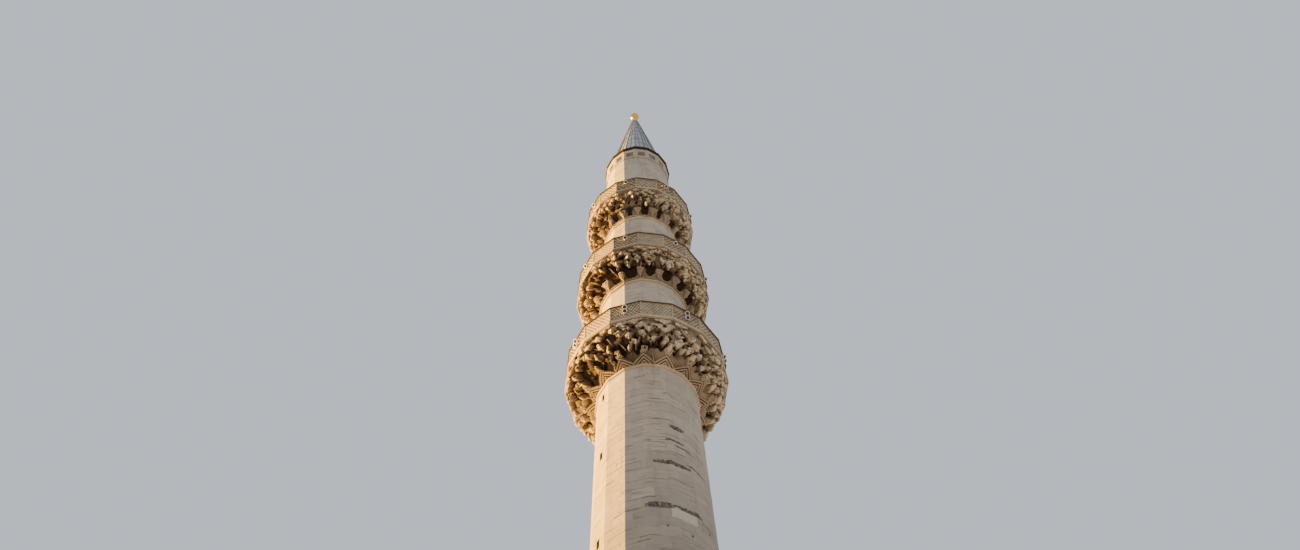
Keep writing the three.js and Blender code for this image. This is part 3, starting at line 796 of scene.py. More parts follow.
def build_footing():
    rng = random.Random(3)
    shape = Shape()
    for (half, low, high), back in zip(FOOTING, (FOOTING[1][0], PEDESTAL_HALF)):
        for turn in range(4):
            ashlar_wall(shape, wall_at(turn, half), 2 * half, low, high - 0.012, high - low, rng)
            outer, inner = wall_at(turn, half + 0.01), wall_at(turn, back)
            cuts = [half * (i / 2.5 - 1) + rng.uniform(-0.1, 0.1) for i in range(1, 5)]
            cuts = sorted([-half, half] + cuts)
            for u0, u1 in zip(cuts, cuts[1:]):
                corners = [outer(u0, high), outer(u1, high)]
                corners += [inner(max(-back, min(back, u)), high) for u in (u1, u0)]
                stone_block(shape, corners, rng.uniform(0.1, 0.9), rng, UP, **SLAB)
    piece("footing_slabs", shape, LIMESTONE)
    shape = Shape()
    levels = [FLOOR_SLAB_DEPTH * i - ROOM_HALF for i in range(5)]
    rows = [(FLOOR_MARGIN - PEDESTAL_HALF, -ROOM_HALF, DOOR_HALF)]
    rows += [(y0, y1, ROOM_HALF - FLOOR_MARGIN) for y0, y1 in zip(levels, levels[1:])]
    for y0, y1, half in rows:
        count = max(1, round(2 * half / 0.8))
        shift = rng.uniform(-0.12, 0.12) if count > 1 else 0
        cuts = [-half] + [half * (2 * i / count - 1) + shift for i in range(1, count)] + [half]
        for u0, u1 in zip(cuts, cuts[1:]):
            corners = [(u0, y0, FLOOR), (u1, y0, FLOOR), (u1, y1, FLOOR), (u0, y1, FLOOR)]
            stone_block(shape, corners, rng.uniform(0.2, 0.9), rng, UP, **FLOOR_SLAB)
    piece("entrance_floor_slabs", shape, LIMESTONE)


def build_pedestal():
    rng = random.Random(4)
    shape = Shape()
    portal = lambda z: PORTAL_HALF if z < PORTAL_TOP - 0.01 else 0.0
    for turn in range(4):
        wall, hole = wall_at(turn, PEDESTAL_HALF), None if turn else portal
        ashlar_wall(shape, wall, 2 * PEDESTAL_HALF, FLOOR, PEDESTAL_TOP, PEDESTAL_COURSE, rng, hole)
    piece("pedestal_stones", shape, LIMESTONE)


def arch_edge(out, steps=10):
    """The entrance's edge moved outwards, from the right foot over the pointed crown to the left foot."""
    offset = (DOOR_RISE ** 2 - DOOR_HALF ** 2) / (2 * DOOR_HALF)
    radius = DOOR_HALF + offset + out
    crown = math.acos(offset / radius)
    right = [(DOOR_HALF + out, FLOOR + (DOOR_SPRING - FLOOR) * i / 4) for i in range(4)]
    for i in range(steps + 1):
        angle = crown * i / steps
        right.append((radius * math.cos(angle) - offset, DOOR_SPRING + radius * math.sin(angle)))
    return right + [(-x, z) for x, z in right[-2::-1]]


# Sections of the mouldings round the entrance: how far from the opening or inside the frame's edge,
# how far in front of the wall, and for the surround its dirt
SURROUND = [
    (0.0, -0.03, 0.3), (0.0, 0.025, 0.0), (0.012, 0.04, 0.0), (0.04, 0.04, 0.0), (0.05, 0.026, 0.4),
    (0.1, 0.026, 0.0), (0.112, 0.045, 0.3), (0.135, 0.05, 0.0), (0.15, 0.04, 0.0), (0.15, 0.0, 0.3),
]
SURROUND_WIDTH = 0.15
PORTAL_FRAME = [
    (0.0, 0.0), (0.0, 0.035), (0.01, 0.05), (0.03, 0.045), (0.04, 0.022), (0.065, 0.022), (0.075, 0.035),
    (0.1, 0.035), (0.12, 0.02), (0.12, 0.0),
]
PORTAL_FRAME_WIDTH = 0.12
FAN_DROP = 0.5  # how far under the springing the field's joints would meet


def build_entrance():
    face = PEDESTAL_HALF
    rng = random.Random(6)
    shape = Shape()
    edges = [[(x, -face - out, z) for x, z in arch_edge(off)] for off, out, _ in SURROUND]
    for i in range(len(edges[0]) - 1):
        shape.grid([edge[i:i + 2] for edge in edges], rng.random(), [dirt_and_shade for *_, dirt_and_shade in SURROUND])
    piece("entrance_surround", shape, PALE)
    shape = Shape()
    inner, outer = arch_edge(SURROUND_WIDTH), []
    inside, top = PORTAL_HALF - PORTAL_FRAME_WIDTH, PORTAL_TOP - PORTAL_FRAME_WIDTH
    centre = DOOR_SPRING - FAN_DROP
    for x, z in inner:
        if z < DOOR_SPRING + 0.01:
            outer.append((inside if x > 0 else -inside, z))
            continue
        grow = (top - centre) / (z - centre)
        if abs(x) > 1e-6:
            grow = min(grow, inside / abs(x))
        outer.append((x * grow, centre + (z - centre) * grow))
    for i in range(len(inner) - 1):
        corners = [(x, -face, z) for x, z in (inner[i], outer[i], outer[i + 1], inner[i + 1])]
        stone_block(shape, corners, rng.random(), rng, Vector((0, -1, 0)), joint=0.0025, chamfer=0.004)
    piece("entrance_field", shape, LIMESTONE)
    shape = Shape()
    rows = []
    for inset, out in PORTAL_FRAME:
        half, high = PORTAL_HALF - inset, PORTAL_TOP - inset
        corners = [(half, FLOOR), (half, high), (-half, high), (-half, FLOOR)]
        rows.append([(x, -face - out, z) for x, z in corners])
    shape.grid(rows, lambda i, j: 0.3 + 0.2 * i)
    piece("entrance_frame", shape, PALE)


# The cornice's steps outwards and upwards from the pedestal's top edge, and which of its points are dirty
CORNICE = [
    (0.0, 0.0), (0.02, 0.01), (0.035, 0.05), (0.055, 0.1), (0.06, 0.13), (0.06, 0.155), (0.075, 0.165),
    (0.1, 0.21), (0.11, 0.25), (0.11, 0.278), (0.135, 0.285), (0.16, 0.3), (0.16, 0.385), (0.145, 0.4),
]
CORNICE_DIRTY = (7, 11)
CORNICE_STONES, CORNICE_JOINT = 4, 0.0015  # stones a side, and half a joint as a share of the side


def build_cornice():
    inner = [(ROOM_HALF, PEDESTAL_TOP), (ROOM_HALF, CORNICE_TOP)]
    profile = inner[:1] + moulding(PEDESTAL_HALF, PEDESTAL_TOP, CORNICE) + inner[::-1]
    grime_and_shade = [0.35 if i in CORNICE_DIRTY else 0.0 for i in range(len(profile))]
    rng = random.Random(8)
    shape = Shape()
    for turn in range(4):
        for part in range(CORNICE_STONES):
            start = part / CORNICE_STONES + (CORNICE_JOINT if part else 0)
            end = (part + 1) / CORNICE_STONES - (CORNICE_JOINT if part < CORNICE_STONES - 1 else 0)
            rows = [[wall_at(turn, r)(r * (2 * share - 1), z) for share in (start, end)] for r, z in profile]
            shape.grid(rows, rng.uniform(0.35, 0.75), grime_and_shade)
    piece("pedestal_cornice_moulded", shape, PALE, ["pedestal_cornice"])


TRANSITION_COURSES = 8


def build_transition():
    rng = random.Random(9)
    shape = Shape()
    vertex = lambda s: Vector(on_side(s, TRANSITION_RADIUS, TRANSITION_TOP))
    corner = Vector((PEDESTAL_HALF, PEDESTAL_HALF, CORNICE_TOP))
    faces = []
    for quarter in range(4):
        first, last = (Matrix.Rotation((quarter + step) * math.pi / 2, 3, "Z") @ corner for step in (-1, 0))
        s = 4 * quarter
        faces.append((first, last, vertex(s - 0.5), vertex(s + 0.5)))
        faces += [(last, last, vertex(s + i + 0.5), vertex(s + i + 1.5)) for i in range(3)]
    for left, right, top_left, top_right in faces:
        normal = (top_right - top_left).cross((left + right) / 2 - top_left).normalized()
        normal = normal if normal.dot(Vector((left.x + right.x, left.y + right.y, 0))) > 0 else -normal
        for c in range(TRANSITION_COURSES):
            shares = (c / TRANSITION_COURSES, (c + 1) / TRANSITION_COURSES)
            low, high = ((left.lerp(top_left, h), right.lerp(top_right, h)) for h in shares)
            parts = max(1, round((high[1] - high[0]).length / STONE_LENGTH))
            bond = 0.5 if c % 2 else 0
            inner = [(i + bond) / parts + rng.uniform(-0.02, 0.02) for i in range(0 if c % 2 else 1, parts)]
            cuts = [0.0] + inner + [1.0]
            for a, b in zip(cuts, cuts[1:]):
                ends = ((low, a), (low, b), (high, b), (high, a))
                corners = [row[0].lerp(row[1], share) for row, share in ends]
                stone_block(shape, corners, 0.5 + rng.uniform(-0.3, 0.3), rng, normal)
    piece("transition_stones", shape, LIMESTONE)


BASE_RING = [
    (-0.06, 0.015), (-0.03, 0.04), (-0.02, 0.055), (0.0, 0.075), (0.0, 0.12), (-0.015, 0.135), (-0.005, 0.16),
    (0.0, 0.19), (-0.01, 0.23), (-0.04, 0.26), (-0.07, 0.275), (-0.11, 0.3), (-0.14, 0.34), (-0.155, 0.385),
    (-0.165, 0.4),
]


def build_base_ring():
    z = TRANSITION_TOP
    profile = [(BORE, z), (TRANSITION_RADIUS, z)] + moulding(BASE_RING_RADIUS, z, BASE_RING)
    profile.append((BORE, BASE_RING_TOP))
    shape = Shape()
    faceted(shape, profile, random.Random(10))
    piece("base_ring_moulded", shape, PALE, ["base_ring"])


# Shaft, with marks that the weather and old repairs have left: from side, to side, low, high, a patch's tone
WORN_GAPS = [
    (-4.5, -3.75, 25.47, 25.66), (-5.4, -4.6, 26.68, 26.71), (-5.7, -4.5, 22.35, 22.56),
    (-4.5, -3.2, 22.42, 22.55), (-5.3, -3.6, 23.98, 24.14), (-4.7, -3.8, 24.95, 25.03),
    (-4.3, -3.5, 24.78, 24.84), (-3.8, -2.6, 24.2, 24.26), (-4.9, -4.82, 21.75, 21.83),
    (-2.82, -2.74, 22.2, 22.28), (-3.88, -3.8, 21.65, 21.73), (1.2, 2.3, 24.9, 24.94), (3.4, 3.5, 21.2, 21.3),
    (5.1, 6.0, 19.0, 19.03), (-1.5, -0.6, 17.6, 17.64), (-5.1, -4.2, 16.1, 16.13),
]
PATCHES = [
    (-5.6, -3.4, 24.05, 24.33, -0.1), (-4.7, -3.7, 22.1, 22.4, 1.28), (-6.3, -5.7, 22.75, 23.0, 1.14),
    (-4.85, -4.55, 27.8, 28.0, 1.5), (0.4, 1.4, 20.0, 20.3, 1.2), (4.5, 5.5, 25.0, 25.3, -0.1),
    (-4.6, -3.5, 14.2, 14.6, 1.2),
]
OPEN_BEDS, CHIPS_A_GAP = 170, 5


def shaft_tone(s, z):
    for s0, s1, low, high, tone in PATCHES:
        if (s0 < s < s1 or s0 < s - SIDES < s1) and low < z < high:
            return tone
    return None


def ragged(gap, rng):
    """A worn gap cut into short parts of uneven height, thinner towards its ends."""
    s0, s1, low, high = gap
    parts, s = [], s0
    while s < s1 - 0.01:
        end = min(s1, s + rng.uniform(0.07, 0.16))
        middle = ((s + end) / 2 - s0) / (s1 - s0)
        full = (high - low) * min(1.0, 0.4 + 2.6 * min(middle, 1 - middle))
        foot = low + (high - low - full) * 0.5 + full * rng.uniform(0.0, 0.15)
        parts.append((s, end, foot, foot + full * rng.uniform(0.8, 1.0)))
        s = end
    return parts


def build_shaft():
    z0, z1 = BASE_RING_TOP, SHAFT_TOP
    r0, r1 = SHAFT_RADII
    rng = random.Random(11)
    half = s_at(LOOPHOLE_WIDTH / 2, (r0 + r1) / 2)
    holes = [(LEFT - half, LEFT + half, z - LOOPHOLE_HEIGHT / 2, z + LOOPHOLE_HEIGHT / 2) for z in LOOPHOLES]
    for _ in range(OPEN_BEDS):
        start, low = rng.uniform(-0.5, SIDES - 0.5), rng.uniform(z0 + 0.3, z1 - 0.3)
        holes.append((start, start + rng.uniform(0.15, 1.4), low, low + rng.uniform(0.006, 0.022)))
    shape = Shape()
    radius_at = lambda z: r0 + (r1 - r0) * (z - z0) / (z1 - z0)
    worn = [part for gap in WORN_GAPS for part in ragged(gap, rng)]
    ashlar_drum(shape, z0 + 0.005, z1 - 0.01, radius_at, rng, holes + worn, shaft_tone)
    for s0, s1, low, high in worn:
        for _ in range(CHIPS_A_GAP):
            s, foot = rng.uniform(s0, s1), rng.uniform(low, high)
            size = (high - low) * rng.uniform(0.3, 0.6)
            end = min(s1, s + rng.uniform(0.02, 0.05)) + 0.01
            tone, proud, dirt_and_shade = rng.random(), rng.uniform(0.003, 0.008), rng.choice((0.3, 0.7, 0.9))
            chip = (s, end, foot, min(high, foot + size) + 0.004)
            drum_block(shape, chip, radius_at, rng, tone, proud, CUT_JOINT, 0.002, 0.5, dirt_and_shade)
    piece("shaft_stones", shape, LIMESTONE)


DOOR_FRAME = {"proud": 0.028, "joint": 0.002, "chamfer": 0.008}
DOOR_FRAME_WIDTH = 0.2  # in sides beside the doorway and in metres above it
DOOR_FRAME_STONES = 5


def build_stage(number, spec):
    floor = spec.level + spec.rise + FLOOR_RISE
    radius_at = lambda z: spec.drum
    half = s_at(BALCONY_DOOR_HALF, spec.drum)
    reach = half + DOOR_FRAME_WIDTH
    head = floor + BALCONY_DOOR_HEIGHT
    top = head + DOOR_FRAME_WIDTH
    rng = random.Random(20 + number)
    shape = Shape()
    holes = [(FRONT - reach, FRONT + reach, floor - 1, top)]
    ashlar_drum(shape, floor, spec.top - 0.01, radius_at, rng, holes)
    piece(f"stage_{number + 1}_stones", shape, LIMESTONE)
    shape = Shape()
    stone_rise = BALCONY_DOOR_HEIGHT / DOOR_FRAME_STONES
    blocks = [
        (a, b, floor + BALCONY_DOOR_HEIGHT * row / DOOR_FRAME_STONES, stone_rise)
        for a, b in ((-reach, -half), (half, reach)) for row in range(DOOR_FRAME_STONES)
    ]
    blocks += [(a, b, head, DOOR_FRAME_WIDTH) for a, b in ((-reach, -0.25), (-0.25, 0.25), (0.25, reach))]
    for a, b, low, high in blocks:
        drum_block(shape, (FRONT + a, FRONT + b, low, low + high), radius_at, rng, rng.random(), **DOOR_FRAME)
    piece(f"balcony_{number}_door_surround", shape, PALE)


# Balcony floors and pierced parapets
FLOOR_EDGE = [
    (-0.03, 0.0), (-0.028, 0.012), (-0.012, 0.02), (-0.01, 0.034), (-0.024, 0.042), (-0.022, 0.055),
    (-0.004, 0.066), (0.0, 0.078), (0.0, FLOOR_RISE),
]
# Painted shade along the floor's edge, dark at its foot and in its middle groove, lighter on the rest.
FLOOR_EDGE_SHADE = [0.4, 0.9, 0.9, 0.25, 0.2, 0.85, 0.85, 0.2, 0.1, 0.15, 0.2]
# Steps outwards from the parapet's face and upwards as shares of its foot's height, then metres under its top
PARAPET_FOOT = [
    (-PARAPET_THICK, 0.0), (PARAPET_SETBACK, 0.0), (PARAPET_SETBACK, 0.35), (0.018, 0.43), (0.016, 0.54),
    (0.004, 0.62), (-0.008, 0.68), (-0.008, 0.77), (0.004, 0.82), (0.004, 0.92), (-0.006, 1.0),
    (-PARAPET_THICK, 1.0),
]
PARAPET_HEAD, COPING_RISE = 0.05, 0.035
PARAPET_RAIL = [
    (-PARAPET_THICK, -PARAPET_HEAD), (0.0, -PARAPET_HEAD),
    (0.0, -COPING_RISE), (-PARAPET_THICK, -COPING_RISE),
]
PARAPET_COPING = [
    (-0.14, -COPING_RISE), (0.03, -COPING_RISE), (0.034, -0.026), (0.032, -0.008), (0.01, 0.0), (-0.12, 0.0),
    (-0.14, -0.01),
]
PARAPET_FEET = {1: (0.13, 0.25), 2: (0.085, 0.25), 3: (0.085, 0.45)}  # height and dirt
# Piercing: distance between cells, their open share and dirt, on every second side and on the others
LOWER_PIERCING, TOP_PIERCING = ((0.104, 0.76, 0.0), (0.095, 0.6, 0.0)), ((0.18, 0.8, 0.28), (0.13, 0.62, 0.2))
STAINED_SIDE = (0.42, 0.3)  # two opposite sides of the lower parapets are less open, and stained
POST_WIDTH, POST_DEPTH = 0.008, 0.12
PANEL_SETBACK, PANEL_MARGIN, PANEL_THICK = 0.012, 0.007, 0.1


def build_floor(number, spec):
    z, bore = spec.level + spec.rise, spec.bore[1]
    shape = Shape()
    profile = [(bore, z)] + moulding(spec.rim, z, FLOOR_EDGE) + [(bore, z + FLOOR_RISE)]
    faceted(shape, profile, random.Random(50 + number), FLOOR_EDGE_SHADE)
    piece(f"balcony_{number}_floor_moulded", shape, CARVED, [f"balcony_{number}_floor"])


def panel_hole(shape, at, centre, size, stretch, limits, open_share, tone, stained):
    """One cell of the piercing: a six-sided piece of stone with a six-sided hole through it."""
    (uc, zc), (half, z0, z1) = centre, limits

    def ring(radius, depth):
        points = []
        for angle in circle(6, 1.5):
            u = max(-half, min(half, uc + radius * math.cos(angle)))
            z = max(z0, min(z1, zc + radius * math.sin(angle) * stretch))
            points.append(at(u, z, depth))
        return points

    hole = size * open_share
    rings = [ring(size, PANEL_THICK), ring(size, 0), ring(hole, 0), ring(hole, PANEL_THICK)]
    # The stain on the face, and painted shade inside the hole, darkest at its back.
    dirt_and_shade = (0.0, stained, max(0.25, stained), 0.95)
    starts = [shape.add(points, depth) for points, depth in zip(rings, dirt_and_shade)]
    for i in range(6):
        k = (i + 1) % 6
        for low, high in zip(starts[1:], starts[2:] + starts[:1]):
            shape.face((low + i, low + k, high + k, high + i), tone)


def pierced_panel(shape, side, radius, z0, z1, piercing, rng):
    pitch, open_share, stained = piercing
    at = side_at(side, radius)
    half = radius * HALF_SIDE - PANEL_MARGIN
    columns = max(3, round(2 * half / pitch))
    pitch = 2 * half / columns
    size = pitch / math.sqrt(3)
    count = max(2, round((z1 - z0) / (1.5 * size)))
    stretch = (z1 - z0) / (count * 1.5 * size)
    for row in range(count + 1):
        for column in range(columns + (0 if row % 2 else 1)):
            centre = (-half + (column + (0.5 if row % 2 else 0.0)) * pitch, z0 + row * 1.5 * size * stretch)
            opened = min(0.86, open_share * rng.uniform(0.85, 1.12))
            panel_hole(shape, at, centre, size, stretch, (half, z0, z1), opened, rng.random(), stained)


def build_parapet(number, spec):
    z, face = spec.level + spec.rise + FLOOR_RISE, spec.rim - PARAPET_SETBACK
    foot, dirt_and_shade = PARAPET_FEET[number]
    top = z + PARAPET_RISE
    low, high = z + foot, top - PARAPET_HEAD
    rng = random.Random(60 + number)
    shape = Shape()
    faceted(shape, moulding(face, z, PARAPET_FOOT, foot), rng, [dirt_and_shade] * len(PARAPET_FOOT))
    faceted(shape, moulding(face, top, PARAPET_RAIL), rng)
    for side in range(SIDES):
        piercing = (TOP_PIERCING if number == 3 else LOWER_PIERCING)[side % 2]
        if (side - FRONT + 1) % 8 == 0 and number < 3:
            piercing = (piercing[0], *STAINED_SIDE)
        pierced_panel(shape, side, face - PANEL_SETBACK, low, high, piercing, rng)
    post = POST_WIDTH / (2 * face * HALF_SIDE)
    inside = 1e-6  # keeps the post's edge on its own side of the corner
    for corner in [k + 0.5 for k in range(SIDES)]:
        for start, end in ((corner - post, corner), (corner, corner + post)):
            s0, s1 = start + inside, end - inside
            outline = ((s0, face), (s1, face), (s1, face - POST_DEPTH), (s0, face - POST_DEPTH))
            rows = [[on_side(s, r, level) for s, r in outline] for level in (low, high)]
            shape.grid(rows, rng.random(), closed=True)
    replaced = [f"balcony_{number}_parapet_front", f"balcony_{number}_parapet_back"]
    piece(f"balcony_{number}_parapet", shape, PALE, replaced)
    shape = Shape()
    faceted(shape, moulding(face, top, PARAPET_COPING), rng)
    piece(f"balcony_{number}_coping", shape, SHADOW_DARK_COPING)


# Lamps: profiles of (radius, distance along the axis)
LAMP_FOOT = [(0.0, 0.0), (0.02, 0.0), (0.02, 0.06), (0.0, 0.06)]
LAMP_HOUSING = [
    (0.0, -0.045), (0.033, -0.038), (0.054, -0.012), (0.06, 0.02), (0.063, 0.05), (0.063, 0.058),
    (0.053, 0.06), (0.048, 0.045), (0.0, 0.043),
]
LAMP_LENS = [(0.046, 0.046), (0.038, 0.052), (0.02, 0.056), (0.0, 0.057)]
LAMP_DROPS = {1: (0.2, 0.42), 2: (0.25,), 3: (0.25,)}  # how far the lamps hang below the coping's top


def lathe_at(shape, origin, axis, profile, count, tone):
    """A profile of (radius, distance) swept round an axis that starts at the origin."""
    side = axis.cross(UP).normalized()
    over = side.cross(axis)
    rows = []
    for radius, along in profile:
        centre = origin + axis * along
        spokes = [side * (radius * math.cos(a)) - over * (radius * math.sin(a)) for a in circle(count)]
        rows.append([tuple(centre + spoke) for spoke in spokes])
    shape.grid(rows, tone, closed=True)


def build_lamps(number, spec):
    """Small round floodlights on every second side of a parapet."""
    top = spec.level + spec.rise + FLOOR_RISE + PARAPET_RISE
    face = (spec.rim - PARAPET_SETBACK) * APOTHEM
    housing, lens = Shape(), Shape()
    for side in range(0, SIDES, 2):
        out = Vector((math.cos(side * SIDE), math.sin(side * SIDE), 0))
        aim = (out * 0.75 - UP * 0.65).normalized()
        for drop in LAMP_DROPS[number]:
            base = out * (face - 0.03) + UP * (top - drop)
            start = base + out * 0.055
            lathe_at(housing, base, out, LAMP_FOOT, 12, 0.5)
            lathe_at(housing, start, aim, LAMP_HOUSING, 20, 0.8)
            lathe_at(lens, start, aim, LAMP_LENS, 20, 0.5)
    piece(f"balcony_{number}_lamps", housing, WHITE_PAINT, smooth=True)
    piece(f"balcony_{number}_lamp_lenses", lens, LENS, smooth=True)


# Roof
FRIEZE_HEAD = [(0.0, -0.12), (0.02, -0.1), (0.02, -0.05), (0.04, -0.004), (0.0, -0.004)]
FRIEZE_FILLET = [(0.0, 0.055), (0.024, 0.058), (0.024, 0.075), (0.0, 0.095)]
TILE_WIDTH, TILE_HEIGHT, TILE_FOOT = 0.12, 0.13, 0.225
TILE_GAPS = (0.003, 0.005)  # half the upright joints, and the level ones


def build_frieze():
    rng = random.Random(5)
    shape = Shape()
    faceted(shape, moulding(FRIEZE_RADIUS, FRIEZE_TOP, FRIEZE_HEAD), rng)
    faceted(shape, moulding(FRIEZE_RADIUS, FRIEZE_LOW, FRIEZE_FILLET), rng)
    piece("frieze_mouldings", shape, PALE)
    shape = Shape()
    for side in range(SIDES):
        at = side_at(side, FRIEZE_RADIUS)
        for column in (-1, 0):
            for row in range(3):
                u0, u1 = TILE_WIDTH * column + TILE_GAPS[0], TILE_WIDTH * (column + 1) - TILE_GAPS[0]
                z0 = FRIEZE_LOW + TILE_FOOT + TILE_HEIGHT * row
                z1 = z0 + TILE_HEIGHT - TILE_GAPS[1]
                rings = []
                for i, depth in ((0, 0.04), (0, 0.018), (0.005, 0.014)):
                    corners = ((u0 + i, z0 + i), (u1 - i, z0 + i), (u1 - i, z1 - i), (u0 + i, z1 - i))
                    rings.append([at(u, z, depth) for u, z in corners])
                shape.boss(rings, 2, rng.random())
    piece("frieze_tiles", shape, TILE)


SHEETS_A_SIDE, SHEET_STEPS = 8, 4
SHEET_LAP = 0.04  # how far a sheet runs up under the next one, as a share of its length
SEAM_STEPS = 12
CORNER_SEAM, MIDDLE_SEAM = 0.024, 0.014
APRON_FOOT = [(0.005, -0.035), (-0.04, -0.018)]
EAVE_DRIP = [(-0.05, -0.06), (0.02, -0.06), (0.035, -0.04), (0.035, -0.03), (0.02, -0.015), (-0.05, -0.01)]


def spire_radius(z):
    low, tip = SPIRE_RADII
    return low + (tip - low) * (z - EAVE_TOP) / (SPIRE_TOP - EAVE_TOP)


def build_sheets(rng):
    """Lead sheets, a strip for each side, with a little buckle and a turned-in lower edge, over an apron."""
    z0, rise = EAVE_TOP, SPIRE_TOP - EAVE_TOP
    steps = range(SHEET_STEPS + 1)
    low_radius = SPIRE_RADII[0]
    apron = moulding(EAVE_RADIUS, z0, APRON_FOOT) + moulding(low_radius, z0, [(0.015, 0.008), (0.0, 0.05)])
    shape = Shape()
    for side in range(SIDES):
        strip = rng.uniform(0.35, 0.75)
        row_at = lambda r, z: [on_side(side - 0.5 + i / SHEET_STEPS, r, z) for i in steps]
        for sheet in range(SHEETS_A_SIDE):
            low = z0 + rise * sheet / SHEETS_A_SIDE
            high = min(SPIRE_TOP, z0 + rise * (sheet + 1 + SHEET_LAP) / SHEETS_A_SIDE)
            rows = []
            for j in steps:
                z = low + (high - low) * j / SHEET_STEPS
                out = spire_radius(z) + 0.006 * (1 - j / SHEET_STEPS)
                free = [0 < i < SHEET_STEPS and j < SHEET_STEPS for i in steps]
                buckle = [rng.uniform(0.0, 0.007) if loose else 0.0 for loose in free]
                rows.append([on_side(side - 0.5 + i / SHEET_STEPS, out + buckle[i], z) for i in steps])
            shape.grid(rows, strip + rng.uniform(-0.1, 0.1))
            shape.grid([row_at(spire_radius(low) - 0.004, low), rows[0]], 0.1)
        shape.grid([row_at(r, z) for r, z in apron], strip)
    piece("spire_lead_sheets", shape, LEAD, smooth=True)


def build_seams(rng):
    """Rolled seams, at each corner and down the middle of each side."""
    z0, rise = EAVE_TOP, SPIRE_TOP - EAVE_TOP
    low, tip = SPIRE_RADII
    shape = Shape()
    for k in range(2 * SIDES):
        thick = CORNER_SEAM if k % 2 else MIDDLE_SEAM
        rows = []
        for j in range(SEAM_STEPS + 1):
            z = z0 + rise * j / SEAM_STEPS
            radius = spire_radius(z)
            centre = Vector(on_side(k / 2, radius + 0.01, z))
            out = Vector((centre.x, centre.y, 0)).normalized()
            across = UP.cross(out)
            size = thick * (0.45 + 0.55 * (radius - tip) / (low - tip))
            spokes = [out * size * math.cos(a) + across * size * math.sin(a) for a in circle(8)]
            rows.append([tuple(centre + spoke) for spoke in spokes])
        shape.grid(rows, rng.uniform(0.0, 1.0), closed=True)
    piece("spire_seams", shape, SEAM_LEAD, smooth=True)


def build_spire():
    rng = random.Random(7)
    build_sheets(rng)
    build_seams(rng)
    shape = Shape()
    turned(shape, moulding(EAVE_RADIUS, EAVE_TOP, EAVE_DRIP + EAVE_DRIP[:1]))
    piece("eave_drip", shape, DARK_LEAD)


# The finial: its foot in metres, each ball's radius and its middle as a share of the height, and its spike
FINIAL_FOOT = [(0.0, 0.0), (0.14, 0.0), (0.15, 0.02), (0.13, 0.045), (0.075, 0.06), (0.05, 0.075)]
FINIAL_BALLS = [(0.1, 0.17), (0.18, 0.48), (0.06, 0.69)]
FINIAL_SPIKE = [(0.02, 0.76), (0.026, 0.78), (0.02, 0.8), (0.016, 0.87), (0.008, 0.96), (0.0, 1.0)]
FINIAL_NECK = 0.03
COLLAR_OUT, COLLAR_RISE = 0.016, 0.012
BALL_STEPS = 14


def build_finial():
    height = FINIAL_TOP - SPIRE_TOP
    profile = list(FINIAL_FOOT)
    for radius, share in FINIAL_BALLS:
        start, middle = math.asin(FINIAL_NECK / radius), share * height
        collar = radius * math.cos(start) + COLLAR_RISE
        profile.append((FINIAL_NECK + COLLAR_OUT, middle - collar))
        for i in range(BALL_STEPS + 1):
            a = start + (math.pi - 2 * start) * i / BALL_STEPS
            profile.append((radius * math.sin(a), middle - radius * math.cos(a)))
        profile.append((FINIAL_NECK + COLLAR_OUT, middle + collar))
    profile += [(radius, share * height) for radius, share in FINIAL_SPIKE]
    shape = Shape()
    turned(shape, [(r, SPIRE_TOP + z) for r, z in profile], sides=32)
    piece("finial_gilt", shape, GILT, ["finial"], smooth=True)


def dress_frame():
    """The CAD solids that show keep their shape and take a weathered material."""
    for name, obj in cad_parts.items():
        for material_slot in obj.material_slots:
            material_slot.material = FRAME_FINISH.get(name, MORTAR)


build_footing()
build_pedestal()
build_entrance()
build_cornice()
build_transition()
build_base_ring()
build_shaft()
for number, spec in enumerate(BALCONIES, 1):
    build_corbel(number, spec)
    build_floor(number, spec)
    build_parapet(number, spec)
    build_lamps(number, spec)
    build_stage(number, spec)
build_frieze()
build_spire()
build_finial()
dress_frame()


# Studio: pale floor, pale world, a low warm sun from the left, and the camera near the tower's foot
CAMERA_BEARING = math.radians(-122.15)
CAMERA_DISTANCE = 16.6
CAMERA_HEIGHT = 1.6
PITCH, ROLL, YAW = (math.radians(a) for a in (64.21, -3.36, 0.88))
SENSOR_WIDTH = 36.0
PHOTO_WIDTH, FOCAL_PIXELS = 1300, 1250
CLIP_END = 500.0
FLOOR_REACH, FLOOR_COLOR = 260.0, (0.40, 0.46, 0.54)
WORLD_COLOR, WORLD_STRENGTH = (0.82, 0.9, 1.0), 0.78
SUN_AZIMUTH, SUN_ELEVATION = CAMERA_BEARING - math.radians(104), math.radians(5)
SUN_ENERGY, SUN_ANGLE, SUN_COLOR = 46.0, math.radians(3), (1.0, 0.51, 0.06)


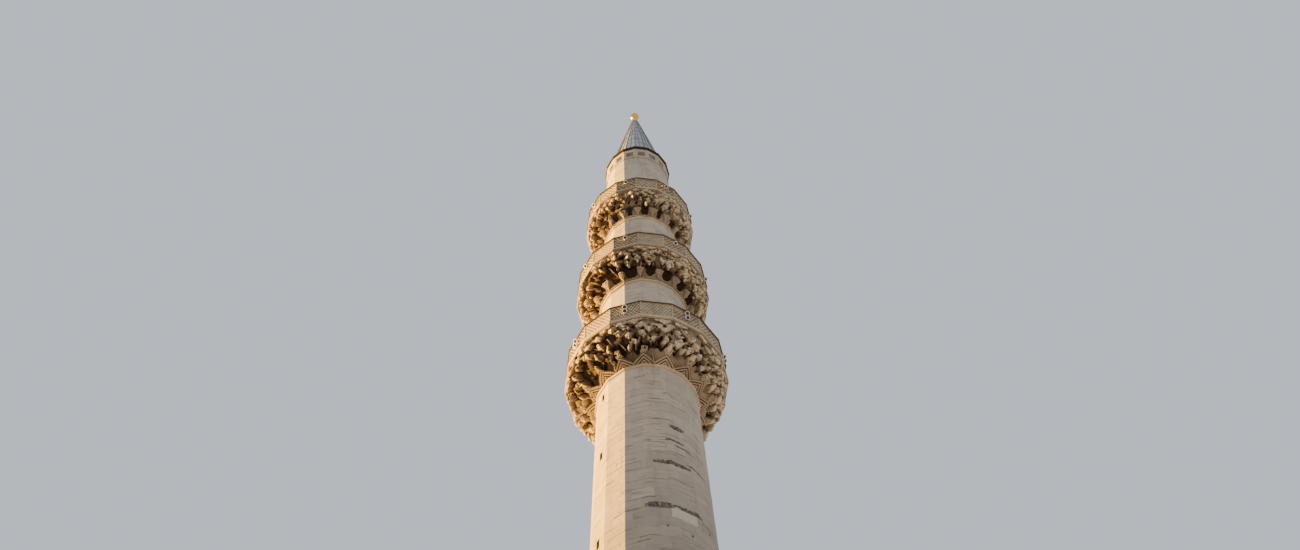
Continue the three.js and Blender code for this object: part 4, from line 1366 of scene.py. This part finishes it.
def build_floor_disc():
    mesh = bpy.data.meshes.new("floor")
    ring = [(FLOOR_REACH * math.cos(a), FLOOR_REACH * math.sin(a), 0) for a in circle(96)]
    mesh.from_pydata(ring, [], [tuple(range(len(ring)))])
    material = bpy.data.materials.new("pale_floor")
    material.use_nodes = True
    shader = material.node_tree.nodes["Principled BSDF"]
    shader.inputs["Base Color"].default_value = tint(FLOOR_COLOR)
    shader.inputs["Roughness"].default_value = 0.95
    mesh.materials.append(material)
    floor = linked("floor", mesh)


def build_light():
    world = bpy.data.worlds.new("pale_world")
    world.use_nodes = True
    background = world.node_tree.nodes["Background"]
    background.inputs["Color"].default_value = tint(WORLD_COLOR)
    background.inputs["Strength"].default_value = WORLD_STRENGTH
    bpy.context.scene.world = world
    lamp = bpy.data.lights.new("sun", "SUN")
    lamp.energy = SUN_ENERGY
    lamp.angle = SUN_ANGLE
    lamp.color = SUN_COLOR
    sun = linked("sun", lamp)
    level = math.cos(SUN_ELEVATION)
    towards = (math.cos(SUN_AZIMUTH) * level, math.sin(SUN_AZIMUTH) * level, math.sin(SUN_ELEVATION))
    sun.rotation_mode = "QUATERNION"
    sun.rotation_quaternion = Vector(towards).to_track_quat("Z", "Y")


def build_camera():
    data = bpy.data.cameras.new("camera")
    data.sensor_width = SENSOR_WIDTH
    data.sensor_fit = "HORIZONTAL"
    data.lens = SENSOR_WIDTH * FOCAL_PIXELS / PHOTO_WIDTH
    data.clip_end = CLIP_END
    camera = linked("camera", data)
    ahead = Vector((-math.cos(CAMERA_BEARING), -math.sin(CAMERA_BEARING), 0))
    right = Vector((ahead.y, -ahead.x, 0))
    level = ahead * math.cos(YAW) + right * math.sin(YAW)
    side = right * math.cos(YAW) - ahead * math.sin(YAW)
    forward = level * math.cos(PITCH) + UP * math.sin(PITCH)
    over = -level * math.sin(PITCH) + UP * math.cos(PITCH)
    x_axis = side * math.cos(ROLL) + over * math.sin(ROLL)
    y_axis = -side * math.sin(ROLL) + over * math.cos(ROLL)
    place = -ahead * CAMERA_DISTANCE * K + UP * CAMERA_HEIGHT * K
    columns = (x_axis, y_axis, -forward, place)
    camera.matrix_world = Matrix([[column[i] for column in columns] for i in range(3)] + [[0, 0, 0, 1]])
    bpy.context.scene.camera = camera


build_floor_disc()
build_light()
build_camera()
